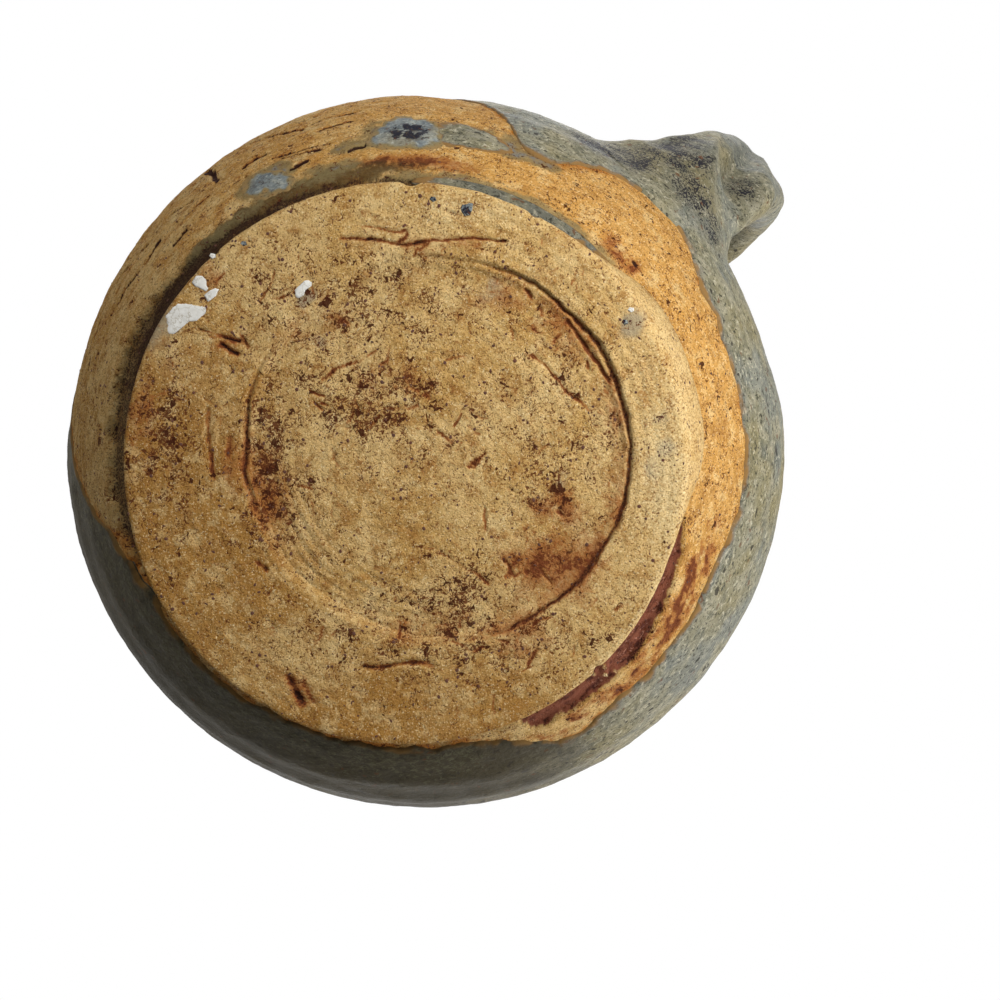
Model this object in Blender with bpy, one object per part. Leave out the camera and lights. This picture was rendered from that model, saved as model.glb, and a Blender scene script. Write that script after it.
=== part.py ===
"""A hand-thrown stoneware pitcher, standing upright, in metres with +Z up.

The potter's own pieces are separate objects: the thrown body, the turned foot disc, the pulled handle strap and
the two coils of clay that lute it to the wall. The fired glaze is a coat outside, a liner inside and two splashes
on the bare clay low on the wall. The handle points to +X and the spout to -X. The origin is in the middle of the
pitcher's outline seen from above, on the surface that it stands on.
"""

import math

import bmesh
import bpy
import numpy as np

MM = 0.001

# Foot disc: a turned slab with a shallow recess, cut off centre, and an undercut side.
FOOT_RADIUS = 42.0 * MM
FOOT_HEIGHT = 5.0 * MM
FOOT_CHAMFER = 1.2 * MM
FOOT_UNDERCUT = 2.0 * MM
RECESS_RADIUS = 28.8 * MM
RECESS_DEPTH = 1.2 * MM
RECESS_SHIFT = 5.5 * MM
RECESS_SHIFT_DEG = 16.0

# Thrown body: an oval belly, a drawn-in neck and a flared rim with a pulled spout.
HEIGHT = 150.0 * MM
BELLY_RADIUS = 60.0 * MM
BELLY_HEIGHT = 44.0 * MM
NECK_RADIUS = 41.0 * MM
NECK_HEIGHT = 116.0 * MM
RIM_RADIUS = 47.0 * MM
GROOVE_RADIUS = 41.0 * MM
WALL = 4.8 * MM
FLOOR = 5.0 * MM
SPOUT_REACH = 14.0 * MM
SPOUT_LENGTH = 34.0 * MM
SPOUT_HALF_ANGLE_DEG = 24.0

# Handle: a pulled strap. Its low root was pressed on a few degrees round the pot from its high one.
STRAP_WIDTH = 17.5 * MM
STRAP_THICKNESS = 9.5 * MM
STRAP_ROOT_WIDTH = 24.0 * MM
FINGER_GAP = 24.0 * MM
HANDLE_LOW = 42.0 * MM
HANDLE_WIDEST = 90.0 * MM
HANDLE_HIGH = 121.0 * MM
LOW_SPRING = 9.0 * MM
HIGH_SPRING = 15.0 * MM
HANDLE_LEAN_DEG = 7.0

# Luting coils: how far each thumbed-on wad stands off the wall, then half its width and half its height.
LOW_COIL = (9.0 * MM, 17.0 * MM, 19.0 * MM)
HIGH_COIL = (5.5 * MM, 16.0 * MM, 11.0 * MM)
COIL_SINK = 7.0 * MM

# Glaze: its thickness, and the tilted and rippled line where the dip stopped.
GLAZE = 0.8 * MM
GLAZE_LINE = 27.0 * MM
GLAZE_TILT = 21.0 * MM
GLAZE_HIGH_SIDE_DEG = -76.0
GLAZE_RIPPLE = 1.5 * MM
GLAZE_RIPPLES = 7
GLAZE_LOWEST = 1.5 * MM
# Each splash has its angle round the pot, the height of its middle, half its width and half its height.
SPLASHES = {
    "glaze_splash_large": (-52.0, 15.0 * MM, 7.0 * MM, 4.5 * MM),
    "glaze_splash_small": (-74.0, 10.5 * MM, 8.0 * MM, 2.5 * MM),
}

# Gap between touching pieces, and how far a strap's end runs on into the wall before it is cut to it.
CLEARANCE = 0.3 * MM
EMBED = 6.0 * MM

SIDES = 40
WALL_ROWS = 16
LIP_ROWS = 3
EDGE_ROWS = 6
STRAP_SIDES = 16
STRAP_ROWS = 26
COIL_RINGS = 9

FINISHES = {
    "bare_stoneware": ((0.50, 0.31, 0.12, 1.0), 0.85),
    "ash_glaze": ((0.20, 0.22, 0.18, 1.0), 0.45),
    "cobalt_glaze": ((0.13, 0.17, 0.20, 1.0), 0.40),
}


def clear_scene():
    for obj in list(bpy.data.objects):
        bpy.data.objects.remove(obj)


def principled(name, finish):
    """A Principled material of its own for the named object."""
    colour, roughness = FINISHES[finish]
    made = bpy.data.materials.new(f"{finish}_{name}")
    made.use_nodes = True
    shader = made.node_tree.nodes["Principled BSDF"]
    shader.inputs["Base Color"].default_value = colour
    shader.inputs["Roughness"].default_value = roughness
    made.diffuse_color = colour
    return made


def solid_from_rings(name, rings, finish, parent, hollow=False):
    """A closed solid skinned over a stack of rings. A ring of one point closes an end as a pole.
    A hollow one joins its last ring to its first, as a shell that is open at both ends."""
    mesh = bmesh.new()
    loops = [[mesh.verts.new(point) for point in ring] for ring in rings]
    pairs = list(zip(loops, loops[1:]))
    if hollow:
        pairs.append((loops[-1], loops[0]))
    for low, high in pairs:
        count = max(len(low), len(high))
        for i in range(count):
            j = (i + 1) % count
            if len(low) == 1:
                mesh.faces.new((low[0], high[j], high[i]))
            elif len(high) == 1:
                mesh.faces.new((low[i], low[j], high[0]))
            else:
                mesh.faces.new((low[i], low[j], high[j], high[i]))
    # The shorter diagonal of each quad is the same on neighbouring skins, so they stay apart where they twist.
    bmesh.ops.triangulate(mesh, faces=mesh.faces, quad_method="SHORT_EDGE")
    bmesh.ops.recalc_face_normals(mesh, faces=mesh.faces)
    data = bpy.data.meshes.new(name)
    mesh.to_mesh(data)
    mesh.free()
    data.shade_smooth()
    data.set_sharp_from_angle(angle=math.radians(40))
    data.materials.append(principled(name, finish))
    obj = bpy.data.objects.new(name, data)
    bpy.context.scene.collection.objects.link(obj)
    obj.parent = parent
    return obj


def as_cutter(obj):
    obj.hide_render = True
    obj.display_type = "WIRE"
    return obj


def cut(obj, cutter):
    modifier = obj.modifiers.new("cut_by_" + cutter.name, "BOOLEAN")
    modifier.operation = "DIFFERENCE"
    modifier.solver = "EXACT"
    modifier.object = cutter


def angles(count):
    return [2 * math.pi * i / count for i in range(count)]


def frame_at(turn):
    """Unit vectors out from the pot's axis, sideways round it and up, at an angle round the pot."""
    out = np.array([math.cos(turn), math.sin(turn), 0.0])
    sideways = np.array([-math.sin(turn), math.cos(turn), 0.0])
    return out, sideways, np.array([0.0, 0.0, 1.0])


# The wall's profile. A row holds a radius, a height and the direction out of the clay there.

WALL_BOTTOM = FOOT_HEIGHT + CLEARANCE
FLOOR_TOP = WALL_BOTTOM + FLOOR
LIP_START = HEIGHT - WALL / 2


def wall_radius(z):
    """Outer radius of the clay: an oval up to the belly, an easy curve in to the neck, then a flare."""
    if z < BELLY_HEIGHT:
        half_height = (BELLY_HEIGHT - WALL_BOTTOM) / math.sqrt(1 - (GROOVE_RADIUS / BELLY_RADIUS) ** 2)
        return BELLY_RADIUS * math.sqrt(1 - ((BELLY_HEIGHT - z) / half_height) ** 2)
    if z < NECK_HEIGHT:
        turn = math.pi * (z - BELLY_HEIGHT) / (NECK_HEIGHT - BELLY_HEIGHT)
        return NECK_RADIUS + (BELLY_RADIUS - NECK_RADIUS) * (1 + math.cos(turn)) / 2
    flare = (z - NECK_HEIGHT) / (LIP_START - NECK_HEIGHT)
    return NECK_RADIUS + (RIM_RADIUS - NECK_RADIUS) * flare**2


def wall_slope(z):
    step = 0.01 * MM
    return (wall_radius(z + step) - wall_radius(z - step)) / (2 * step)


def wall_row(z):
    slope = wall_slope(z)
    length = math.hypot(1, slope)
    return wall_radius(z), z, 1 / length, -slope / length


def inner_row(z):
    slope = wall_slope(z)
    length = math.hypot(1, slope)
    return wall_radius(z) - WALL * length, z, -1 / length, slope / length


def lip_row(turn):
    """The rounded lip, from 0 at its outer edge to a half turn at its inner edge."""
    out, up = math.cos(turn), math.sin(turn)
    return RIM_RADIUS - WALL / 2 + WALL / 2 * out, LIP_START + WALL / 2 * up, out, up


def wall_heights():
    return [float(z) for z in np.linspace(WALL_BOTTOM, LIP_START, WALL_ROWS)]


def outer_rows():
    """Outside of the clay from the groove over the foot up to the crest of the lip."""
    lip = [lip_row(math.pi / 2 * i / LIP_ROWS) for i in range(1, LIP_ROWS + 1)]
    return [wall_row(z) for z in wall_heights()] + lip


def inner_rows():
    """Inside of the clay from the crest of the lip down to the middle of the floor."""
    lip = [lip_row(math.pi / 2 * (1 + i / LIP_ROWS)) for i in range(LIP_ROWS + 1)]
    side = [inner_row(z) for z in wall_heights()[-2::-1] if z > FLOOR_TOP + WALL / 2]
    corner = inner_row(FLOOR_TOP)[0]
    return lip + side + [(corner, FLOOR_TOP, -0.5, 0.8), (corner - WALL, FLOOR_TOP, 0, 1), (0, FLOOR_TOP, 0, 1)]


def spout_pull(turn, z):
    """How far the spout draws the wall out at this height, most on the -X side."""
    climb = min(max((z - HEIGHT + SPOUT_LENGTH) / SPOUT_LENGTH, 0.0), 1.0)
    off_side = abs(math.remainder(turn - math.pi, 2 * math.pi)) / math.radians(SPOUT_HALF_ANGLE_DEG)
    return SPOUT_REACH * climb * climb * (3 - 2 * climb) * math.exp(-(off_side**2))


def on_wall(row, turn, offset=0.0):
    """The point of a profile row at an angle round the pot, moved out of the clay by an offset."""
    radius, z, out, up = row
    reach = radius + offset * out + spout_pull(turn, z)
    return reach * math.cos(turn), reach * math.sin(turn), z + offset * up


def turned(row, offset=0.0):
    """The row's whole ring, or its one point on the axis."""
    if row[0] == 0:
        return [(0.0, 0.0, row[1] + offset * row[3])]
    return [on_wall(row, turn, offset) for turn in angles(SIDES)]


def thrown_body(parent):
    rings = [turned(row) for row in outer_rows() + inner_rows()[1:]]
    return solid_from_rings("thrown_body", [[(0.0, 0.0, WALL_BOTTOM)], *rings], "bare_stoneware", parent)


def foot_disc(parent):
    """The foot's rings run from the middle of its recess, under the ring it stands on and up its side to its top."""
    turn = math.radians(RECESS_SHIFT_DEG)
    recess = RECESS_SHIFT * math.cos(turn), RECESS_SHIFT * math.sin(turn)

    def circle(radius, z, centre=(0.0, 0.0)):
        return [(centre[0] + radius * math.cos(a), centre[1] + radius * math.sin(a), z) for a in angles(SIDES)]

    rings = [
        [(*recess, RECESS_DEPTH)],
        circle(RECESS_RADIUS - RECESS_DEPTH, RECESS_DEPTH, recess),
        circle(RECESS_RADIUS, 0.0, recess),
        circle(FOOT_RADIUS - FOOT_CHAMFER, 0.0),
        circle(FOOT_RADIUS, FOOT_CHAMFER),
        circle(FOOT_RADIUS, FOOT_HEIGHT / 2),
        circle(FOOT_RADIUS - FOOT_UNDERCUT, FOOT_HEIGHT),
        [(0.0, 0.0, FOOT_HEIGHT)],
    ]
    return solid_from_rings("foot_disc", rings, "bare_stoneware", parent)


# Handle strap and the coils round its roots.

STRAP_OUT = wall_radius(HANDLE_WIDEST) + FINGER_GAP + STRAP_THICKNESS / 2


def bezier(points, t):
    a, b, c, d = (np.array(point) for point in points)
    return a * (1 - t) ** 3 + 3 * b * t * (1 - t) ** 2 + 3 * c * t * t * (1 - t) + d * t**3


def strap_middle(t):
    """Radius and height of the strap's middle line, from 0 at its low root to 1 at its high root."""
    low, high = wall_radius(HANDLE_LOW), wall_radius(HANDLE_HIGH)
    rise = (HANDLE_WIDEST - HANDLE_LOW) * 0.5
    turn_over = (HANDLE_HIGH - HANDLE_WIDEST) * 0.75
    widest = STRAP_OUT, HANDLE_WIDEST
    lower_arm = (low - EMBED, HANDLE_LOW), (low + LOW_SPRING, HANDLE_LOW), (STRAP_OUT, HANDLE_WIDEST - rise), widest
    upper_arm = (
        widest,
        (STRAP_OUT, HANDLE_WIDEST + turn_over),
        (high + HIGH_SPRING, HANDLE_HIGH),
        (high - EMBED, HANDLE_HIGH),
    )
    return bezier(lower_arm, 2 * t) if t < 0.5 else bezier(upper_arm, 2 * t - 1)


def strap_lean(t):
    """Angle round the pot: the low root sits to one side of the high one, and the strap bends over to meet it."""
    return -math.radians(HANDLE_LEAN_DEG) * (1 - t) ** 2


def strap_rings(grow=0.0):
    """Rounded sections along the strap, grown by a clearance all round, with a point to close each end."""
    rings = []
    for t in np.linspace(0, 1, STRAP_ROWS):
        middle = strap_middle(t)
        along = strap_middle(min(t + 1e-4, 1.0)) - strap_middle(max(t - 1e-4, 0.0))
        outwards = np.array([along[1], -along[0]]) / np.linalg.norm(along)
        root = abs(2 * t - 1) ** 3
        half_width = STRAP_WIDTH / 2 + (STRAP_ROOT_WIDTH - STRAP_WIDTH) / 2 * root + grow
        half_thick = STRAP_THICKNESS / 2 + grow
        out, sideways, up = frame_at(strap_lean(t))
        ring = []
        for a in angles(STRAP_SIDES):
            thick = math.copysign(abs(math.cos(a)) ** 0.75, math.cos(a)) * half_thick
            wide = math.copysign(abs(math.sin(a)) ** 0.75, math.sin(a)) * half_width
            radius, height = middle + thick * outwards
            ring.append(radius * out + height * up + wide * sideways)
        rings.append(ring)
    return [[np.mean(rings[0], axis=0)], *rings, [np.mean(rings[-1], axis=0)]]


def coil_rings(height, turn, sizes, grow=0.0):
    """An egg of clay pressed on the wall, grown by a clearance all round."""
    stand_off, half_width, half_height = sizes
    out, sideways, up = frame_at(turn)
    centre = (wall_radius(height) - COIL_SINK) * out + height * up
    depth = stand_off + COIL_SINK + grow
    rings = [[centre - depth * out]]
    for i in range(1, COIL_RINGS + 1):
        a = math.pi * i / (COIL_RINGS + 1)
        level = centre - depth * math.cos(a) * out
        wide, tall = (half_width + grow) * math.sin(a), (half_height + grow) * math.sin(a)
        rings.append([level + wide * math.cos(b) * sideways + tall * math.sin(b) * up for b in angles(2 * COIL_RINGS)])
    return rings + [[centre + depth * out]]


def wall_room(parent):
    """All that the clay wall encloses, grown by the clearance: it trims what is luted to the wall."""
    rows = outer_rows()
    rings = [turned(row, CLEARANCE) for row in rows]
    rings = [[(0.0, 0.0, rings[0][0][2])], *rings, [(0.0, 0.0, rings[-1][0][2])]]
    return as_cutter(solid_from_rings("wall_room", rings, "bare_stoneware", parent))


def handle_pieces(parent):
    """The strap and its two coils, each cut to the next. Returns the room that they need in the glaze."""
    wall = wall_room(parent)
    strap = solid_from_rings("handle_strap", strap_rings(), "ash_glaze", parent)
    cut(strap, wall)
    strap_room = as_cutter(solid_from_rings("strap_room", strap_rings(CLEARANCE), "ash_glaze", parent))
    rooms = [strap_room]
    for name, height, turn, sizes in (
        ("lower_luting_coil", HANDLE_LOW, strap_lean(0), LOW_COIL),
        ("upper_luting_coil", HANDLE_HIGH, strap_lean(1), HIGH_COIL),
    ):
        coil = solid_from_rings(name, coil_rings(height, turn, sizes), "ash_glaze", parent)
        cut(coil, wall)
        cut(coil, strap_room)
        room = coil_rings(height, turn, sizes, CLEARANCE)
        rooms.append(as_cutter(solid_from_rings(name + "_room", room, "ash_glaze", parent)))
    return rooms


# Glaze.


def glaze_line(turn):
    """Height of the dip's edge round the pot."""
    tilt = GLAZE_TILT * math.cos(turn - math.radians(GLAZE_HIGH_SIDE_DEG))
    line = GLAZE_LINE + tilt + GLAZE_RIPPLE * math.sin(GLAZE_RIPPLES * turn)
    return max(line, WALL_BOTTOM + GLAZE_LOWEST)


def outer_glaze(parent, rooms):
    """The outside coat, from the dip's edge up to the crest of the lip, cut round the handle's roots."""
    top_of_edge = GLAZE_LINE + GLAZE_TILT + 2 * GLAZE_RIPPLE
    shared = [row for row in outer_rows() if row[1] > top_of_edge]
    crest = list(shared[-1])
    crest[0] += CLEARANCE / 2
    shared[-1] = tuple(crest)

    def face(offset):
        rings = []
        for i in range(EDGE_ROWS):
            ring = []
            for turn in angles(SIDES):
                line = glaze_line(turn)
                ring.append(on_wall(wall_row(line + (shared[0][1] - line) * i / EDGE_ROWS), turn, offset))
            rings.append(ring)
        return rings + [turned(row, offset) for row in shared]

    rings = face(CLEARANCE) + face(CLEARANCE + GLAZE)[::-1]
    coat = solid_from_rings("outer_glaze", rings, "ash_glaze", parent, hollow=True)
    for room in rooms:
        cut(coat, room)
    return coat


def liner_glaze(parent):
    """The inside coat, from the crest of the lip down to the middle of the floor."""
    rows = inner_rows()
    crest = list(rows[0])
    crest[0] -= CLEARANCE / 2
    rows[0] = tuple(crest)
    rings = [turned(row, CLEARANCE) for row in rows[::-1]]
    rings += [turned(row, CLEARANCE + GLAZE) for row in rows]
    return solid_from_rings("liner_glaze", rings, "ash_glaze", parent)


def glaze_splash(name, parent):
    """A domed splash of glaze on the bare wall."""
    turn_deg, height, half_width, half_height = SPLASHES[name]
    middle = math.radians(turn_deg)

    def ring(share, offset):
        points = []
        for a in angles(20):
            row = wall_row(height + share * half_height * math.sin(a))
            points.append(on_wall(row, middle + share * half_width * math.cos(a) / row[0], offset))
        return points

    pole = wall_row(height)
    rings = [[on_wall(pole, middle, CLEARANCE)], ring(0.5, CLEARANCE), ring(1.0, CLEARANCE)]
    rings += [ring(1.0, CLEARANCE + 0.3 * GLAZE), ring(0.6, CLEARANCE + 0.8 * GLAZE)]
    rings += [[on_wall(pole, middle, CLEARANCE + GLAZE)]]
    return solid_from_rings(name, rings, "cobalt_glaze", parent)


def main():
    clear_scene()
    handle_reach = STRAP_OUT + STRAP_THICKNESS / 2
    spout_reach = RIM_RADIUS + SPOUT_REACH + CLEARANCE + GLAZE
    axis = bpy.data.objects.new("pitcher_axis", None)
    axis.location.x = (spout_reach - handle_reach) / 2
    bpy.context.scene.collection.objects.link(axis)
    foot_disc(axis)
    thrown_body(axis)
    outer_glaze(axis, handle_pieces(axis))
    liner_glaze(axis)
    for name in SPLASHES:
        glaze_splash(name, axis)


main()
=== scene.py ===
# %% [markdown]
# # A stoneware pitcher, seen from underneath
# A potter threw this pitcher, turned its foot, pulled a strap for the handle and dipped all but its lowest
# part in ash glaze. The camera looks at the foot, so bare clay fills most of the picture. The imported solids
# give every size and place. This script dresses them: it models the fine surface of each piece and gives it
# the finish of fired clay or glaze.

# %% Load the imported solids
import math

import bmesh
import bpy
import numpy as np
from mathutils import Matrix, Vector, noise


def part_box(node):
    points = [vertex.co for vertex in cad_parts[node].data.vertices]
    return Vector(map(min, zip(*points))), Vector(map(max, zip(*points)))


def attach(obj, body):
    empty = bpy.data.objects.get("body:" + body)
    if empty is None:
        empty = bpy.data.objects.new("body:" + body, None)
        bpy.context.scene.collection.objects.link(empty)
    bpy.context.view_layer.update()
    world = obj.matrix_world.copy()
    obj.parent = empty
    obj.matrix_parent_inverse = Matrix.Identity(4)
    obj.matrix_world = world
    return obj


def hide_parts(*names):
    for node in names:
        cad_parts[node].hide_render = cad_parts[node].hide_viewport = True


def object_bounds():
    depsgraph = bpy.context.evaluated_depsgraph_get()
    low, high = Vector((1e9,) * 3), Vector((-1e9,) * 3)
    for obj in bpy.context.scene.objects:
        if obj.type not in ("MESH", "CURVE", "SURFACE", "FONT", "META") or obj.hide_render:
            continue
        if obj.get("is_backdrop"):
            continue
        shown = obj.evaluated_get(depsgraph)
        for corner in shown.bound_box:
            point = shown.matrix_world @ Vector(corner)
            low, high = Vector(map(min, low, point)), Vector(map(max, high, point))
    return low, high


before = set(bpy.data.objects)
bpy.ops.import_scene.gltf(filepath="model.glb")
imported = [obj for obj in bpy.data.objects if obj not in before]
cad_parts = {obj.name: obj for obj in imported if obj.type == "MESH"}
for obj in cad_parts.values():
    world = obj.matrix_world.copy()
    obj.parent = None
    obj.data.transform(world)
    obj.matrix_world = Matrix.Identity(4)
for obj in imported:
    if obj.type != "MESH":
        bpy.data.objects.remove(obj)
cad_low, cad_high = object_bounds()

MM = 0.001
foot_low, foot_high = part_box("foot_disc")
body_low, body_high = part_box("thrown_body")
AXIS_X = (foot_low.x + foot_high.x) / 2
FOOT_RADIUS = (foot_high.x - foot_low.x) / 2 / MM
WALL_BOTTOM = body_low.z / MM
HEIGHT = body_high.z / MM
BELLY_RADIUS = (body_high.y - body_low.y) / 2 / MM
print(f"foot {2 * FOOT_RADIUS:.0f} mm, belly {2 * BELLY_RADIUS:.0f} mm, height {HEIGHT:.0f} mm")

# %% [markdown]
# ## The camera
# The photograph was taken from close under the pitcher, so the foot looks large and the belly falls away
# fast. A camera could be aimed by hand, but then each try moves everything. Here it is worked out from what
# can be measured in the picture: where the foot's middle lies, how the pot's axis leans, and which way the
# handle points.

# %% Camera
PICTURE = 1000
FOCAL_PX = 1885
FOOT_MIDDLE_PX = (401.4, 467.0)
FOOT_DISTANCE = 280.0
AXIS_LEAN = Vector((0.048, -0.080, 1.0))
HANDLE_TURN = math.radians(38.5)
SENSOR = 36.0

# Camera space here is right, down and forward, as a picture is read.
axis = AXIS_LEAN.normalized()
across = (Vector((1, 0, 0)) - axis.x * axis).normalized()
down = axis.cross(across)
handle_way = Vector((math.cos(HANDLE_TURN), math.sin(HANDLE_TURN), 0))
side_way = Vector((-math.sin(HANDLE_TURN), math.cos(HANDLE_TURN), 0))
to_camera = Matrix(
    [
        [across[i] * handle_way[j] + down[i] * side_way[j] + axis[i] * (j == 2) for j in range(3)]
        for i in range(3)
    ]
)
foot_seen = Vector(
    (
        (FOOT_MIDDLE_PX[0] - PICTURE / 2) * FOOT_DISTANCE / FOCAL_PX,
        (FOOT_MIDDLE_PX[1] - PICTURE / 2) * FOOT_DISTANCE / FOCAL_PX,
        FOOT_DISTANCE,
    )
)
to_world = to_camera.transposed()
eye = Vector((AXIS_X, 0, 0)) - to_world @ foot_seen * MM
right_way = to_world @ Vector((1, 0, 0))
up_way = to_world @ Vector((0, -1, 0))
back_way = to_world @ Vector((0, 0, -1))

lens = bpy.data.cameras.new("picture_camera")
lens.sensor_width = SENSOR
lens.lens = FOCAL_PX / PICTURE * SENSOR
lens.clip_start = 0.01
camera = bpy.data.objects.new("picture_camera", lens)
camera.matrix_world = Matrix(
    [[right_way[i], up_way[i], back_way[i], eye[i]] for i in range(3)] + [[0, 0, 0, 1]]
)
bpy.context.scene.collection.objects.link(camera)
bpy.context.scene.camera = camera
bpy.context.scene.view_settings.view_transform = "Standard"
print(f"lens {lens.lens:.1f} mm, camera at {[round(v, 3) for v in eye]}")

# %% [markdown]
# ## One small function for nodes
# Every shader here is a node tree, and so are the world and the scatter of grains. One function adds a
# node, sets its properties or inputs and links it, so that each material further down reads as a list of
# its layers. Colours are written as hex, the way a paint picker gives them, and turned to the linear values
# that Blender computes with.


# %% Nodes and colours
def add(tree, kind, settings=None, links=None):
    """Add a node. A setting is a property or an input, by name or number. A link feeds an input."""
    made = tree.nodes.new(kind)
    for key, value in (settings or {}).items():
        if isinstance(key, str) and hasattr(made, key):
            setattr(made, key, value)
        else:
            made.inputs[key].default_value = value
    for key, source in (links or {}).items():
        tree.links.new(source, made.inputs[key])
    return made


def colour(code):
    """Linear RGBA of an sRGB hex colour."""
    parts = [int(code[i : i + 2], 16) / 255 for i in (1, 3, 5)]
    return [v / 12.92 if v <= 0.04045 else ((v + 0.055) / 1.055) ** 2.4 for v in parts] + [1.0]


# Numbers of the Mix node's sockets when it mixes colours.
MIX_FACTOR, MIX_A, MIX_B, MIX_OUT = 0, 6, 7, 2
print("ochre clay is", [round(v, 3) for v in colour("#D2A860")])

# %% [markdown]
# ## White surround, floor and soft light
# The picture is cut out on white. A white backdrop would also throw light on the pot and wash its shadows
# out. So the world is white only to rays that the camera, a gloss or a clear material sends, and almost
# dark to all others.

# %% World
AMBIENT = 0.065
world = bpy.data.worlds.new("white_surround")
bpy.context.scene.world = world
world.use_nodes = True
tree = world.node_tree
tree.nodes.clear()
path = add(tree, "ShaderNodeLightPath")
seen = path.outputs["Is Camera Ray"]
for ray in ("Is Glossy Ray", "Is Transmission Ray"):
    either = add(tree, "ShaderNodeMath", {"operation": "MAXIMUM"}, {0: seen, 1: path.outputs[ray]})
    seen = either.outputs[0]
strength = add(tree, "ShaderNodeMapRange", {"To Min": AMBIENT, "To Max": 1.0}, {"Value": seen})
surround = add(tree, "ShaderNodeBackground", {"Color": (1, 1, 1, 1)}, {"Strength": strength.outputs[0]})
add(tree, "ShaderNodeOutputWorld", {}, {"Surface": surround.outputs[0]})
print(world.name, "with ambient light of", AMBIENT)

# %% [markdown]
# The pitcher stands on pale paper, which shows its shadow in views from above. A plain sheet would hide the
# foot from a camera under it. This one is matt from above, clear from below, and fades to white away from
# the pot. It is left out of shadow and bounce rays, because a real pot would have been turned over to be
# photographed, and the lamp under it has to reach the foot.

# %% Paper floor
paper = bpy.data.materials.new("pale_paper")
paper.use_nodes = True
tree = paper.node_tree
tree.nodes.clear()
sheet = add(tree, "ShaderNodeBsdfDiffuse", {"Color": colour("#F1F0EC")})
clear = add(tree, "ShaderNodeBsdfTransparent")
side = add(tree, "ShaderNodeNewGeometry")
place = add(tree, "ShaderNodeTexCoord").outputs["Object"]
away = add(tree, "ShaderNodeVectorMath", {"operation": "LENGTH"}, {0: place})
FADE_START, FADE_END = 0.25, 1.1
settings = {"From Min": FADE_START, "From Max": FADE_END, "interpolation_type": "SMOOTHSTEP"}
fade = add(tree, "ShaderNodeMapRange", settings, {"Value": away.outputs["Value"]})
links = {0: side.outputs["Backfacing"], 1: fade.outputs[0]}
unseen = add(tree, "ShaderNodeMath", {"operation": "MAXIMUM"}, links)
mixed = add(tree, "ShaderNodeMixShader", {}, {0: unseen.outputs[0], 1: sheet.outputs[0], 2: clear.outputs[0]})
add(tree, "ShaderNodeOutputMaterial", {}, {"Surface": mixed.outputs[0]})

FLOOR_SIZE = 3.0
FLOOR_DROP = 0.4 * MM
half = FLOOR_SIZE / 2
floor_corners = [(-half, -half), (half, -half), (half, half), (-half, half)]
floor_mesh = bpy.data.meshes.new("paper_floor")
floor_mesh.from_pydata([(x, y, -FLOOR_DROP) for x, y in floor_corners], [], [(0, 1, 2, 3)])
floor_mesh.materials.append(paper)
floor = bpy.data.objects.new("paper_floor", floor_mesh)
bpy.context.scene.collection.objects.link(floor)
for rays in ("shadow", "diffuse", "glossy", "transmission"):
    setattr(floor, "visible_" + rays, False)
floor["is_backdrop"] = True
print("floor of", FLOOR_SIZE, "m")

# %% [markdown]
# The window is close by on the right of the picture, so its light falls off across the foot. The room is
# lit from above the picture, and a pale table on the right throws light back on the glaze there. A sun lamp
# would give hard edges, so each lamp is a soft square. Light from under the floor doesn't bounce, or the
# lit clay would glow on the paper.


# %% Lamps
def soft_lamp(name, direction, distance, size, level, bounces=12):
    """A square lamp. Level 1 lights a white card that faces it about as white as it is."""
    data = bpy.data.lights.new(name, "AREA")
    data.size = size
    data.energy = level * (math.pi * distance) ** 2
    data.cycles.max_bounces = bounces
    lamp = bpy.data.objects.new(name, data)
    lamp.location = Vector((AXIS_X, 0, 0)) + direction.normalized() * distance
    lamp.visible_camera = False
    lamp.rotation_euler = direction.to_track_quat("Z", "Y").to_euler()
    bpy.context.scene.collection.objects.link(lamp)


soft_lamp("window", back_way * 0.66 + right_way * 0.64 + up_way * 0.30, 0.21, 0.11, 1.08, bounces=0)
soft_lamp("room", back_way * 0.50 - right_way * 0.45 + up_way * 0.75, 1.0, 0.8, 0.44, bounces=0)
soft_lamp("table", right_way * 0.66 - up_way * 0.66 - back_way * 0.16, 1.0, 0.6, 0.9, bounces=0)
soft_lamp("sky_above", Vector((0.25, -0.3, 1.0)), 1.2, 0.8, 0.75)
soft_lamp("sky_behind", Vector((-0.3, 0.35, 1.0)), 1.4, 0.9, 0.35)

# %% [markdown]
# ## Working on a turned surface
# A thrown pot is a profile turned round an axis. Each piece here is made of rings of points, in millimetres
# from the pot's axis, which one function skins into a closed mesh. Hand-made unevenness comes from
# Blender's own noise, read at each point, so neighbouring pieces that read the same noise fit each other.


# %% Helpers for turned pieces
def lumps(points, size, seed=0):
    """Smooth random values of about -1 to 1 at points in mm, which change over the given size in mm."""
    points = np.asarray(points, dtype=float)
    shift = Vector((17.3, 5.1, 3.7)) * seed
    flat = points.reshape(-1, 3) / size
    return np.array([noise.noise(Vector(p) + shift) for p in flat]).reshape(points.shape[:-1])


def ease(x):
    """Smooth step from 0 to 1 as x goes from 0 to 1."""
    x = np.clip(x, 0.0, 1.0)
    return x * x * (3 - 2 * x)


def bell(distance, half, power=2):
    """1 at no distance, falling to about a third at half. A higher power gives a flatter top."""
    return np.exp(-((distance / half) ** power))


def arc(angle, middle, half):
    """1 on an arc round a middle angle in degrees, falling to 0 a little past its half width."""
    off = (angle - middle + 180) % 360 - 180
    return bell(off, half, 4)


def turn_in_picture(right, up):
    """The angle in the picture, in degrees, of a place right and up of a middle."""
    return np.degrees(np.arctan2(up, right))


def flip(right, up):
    """From mm right and up in the picture to the pot's x and y, or back. Seen from below it is mirrored."""
    c, s = math.cos(HANDLE_TURN), math.sin(HANDLE_TURN)
    return right * c + up * s, right * s - up * c


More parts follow.
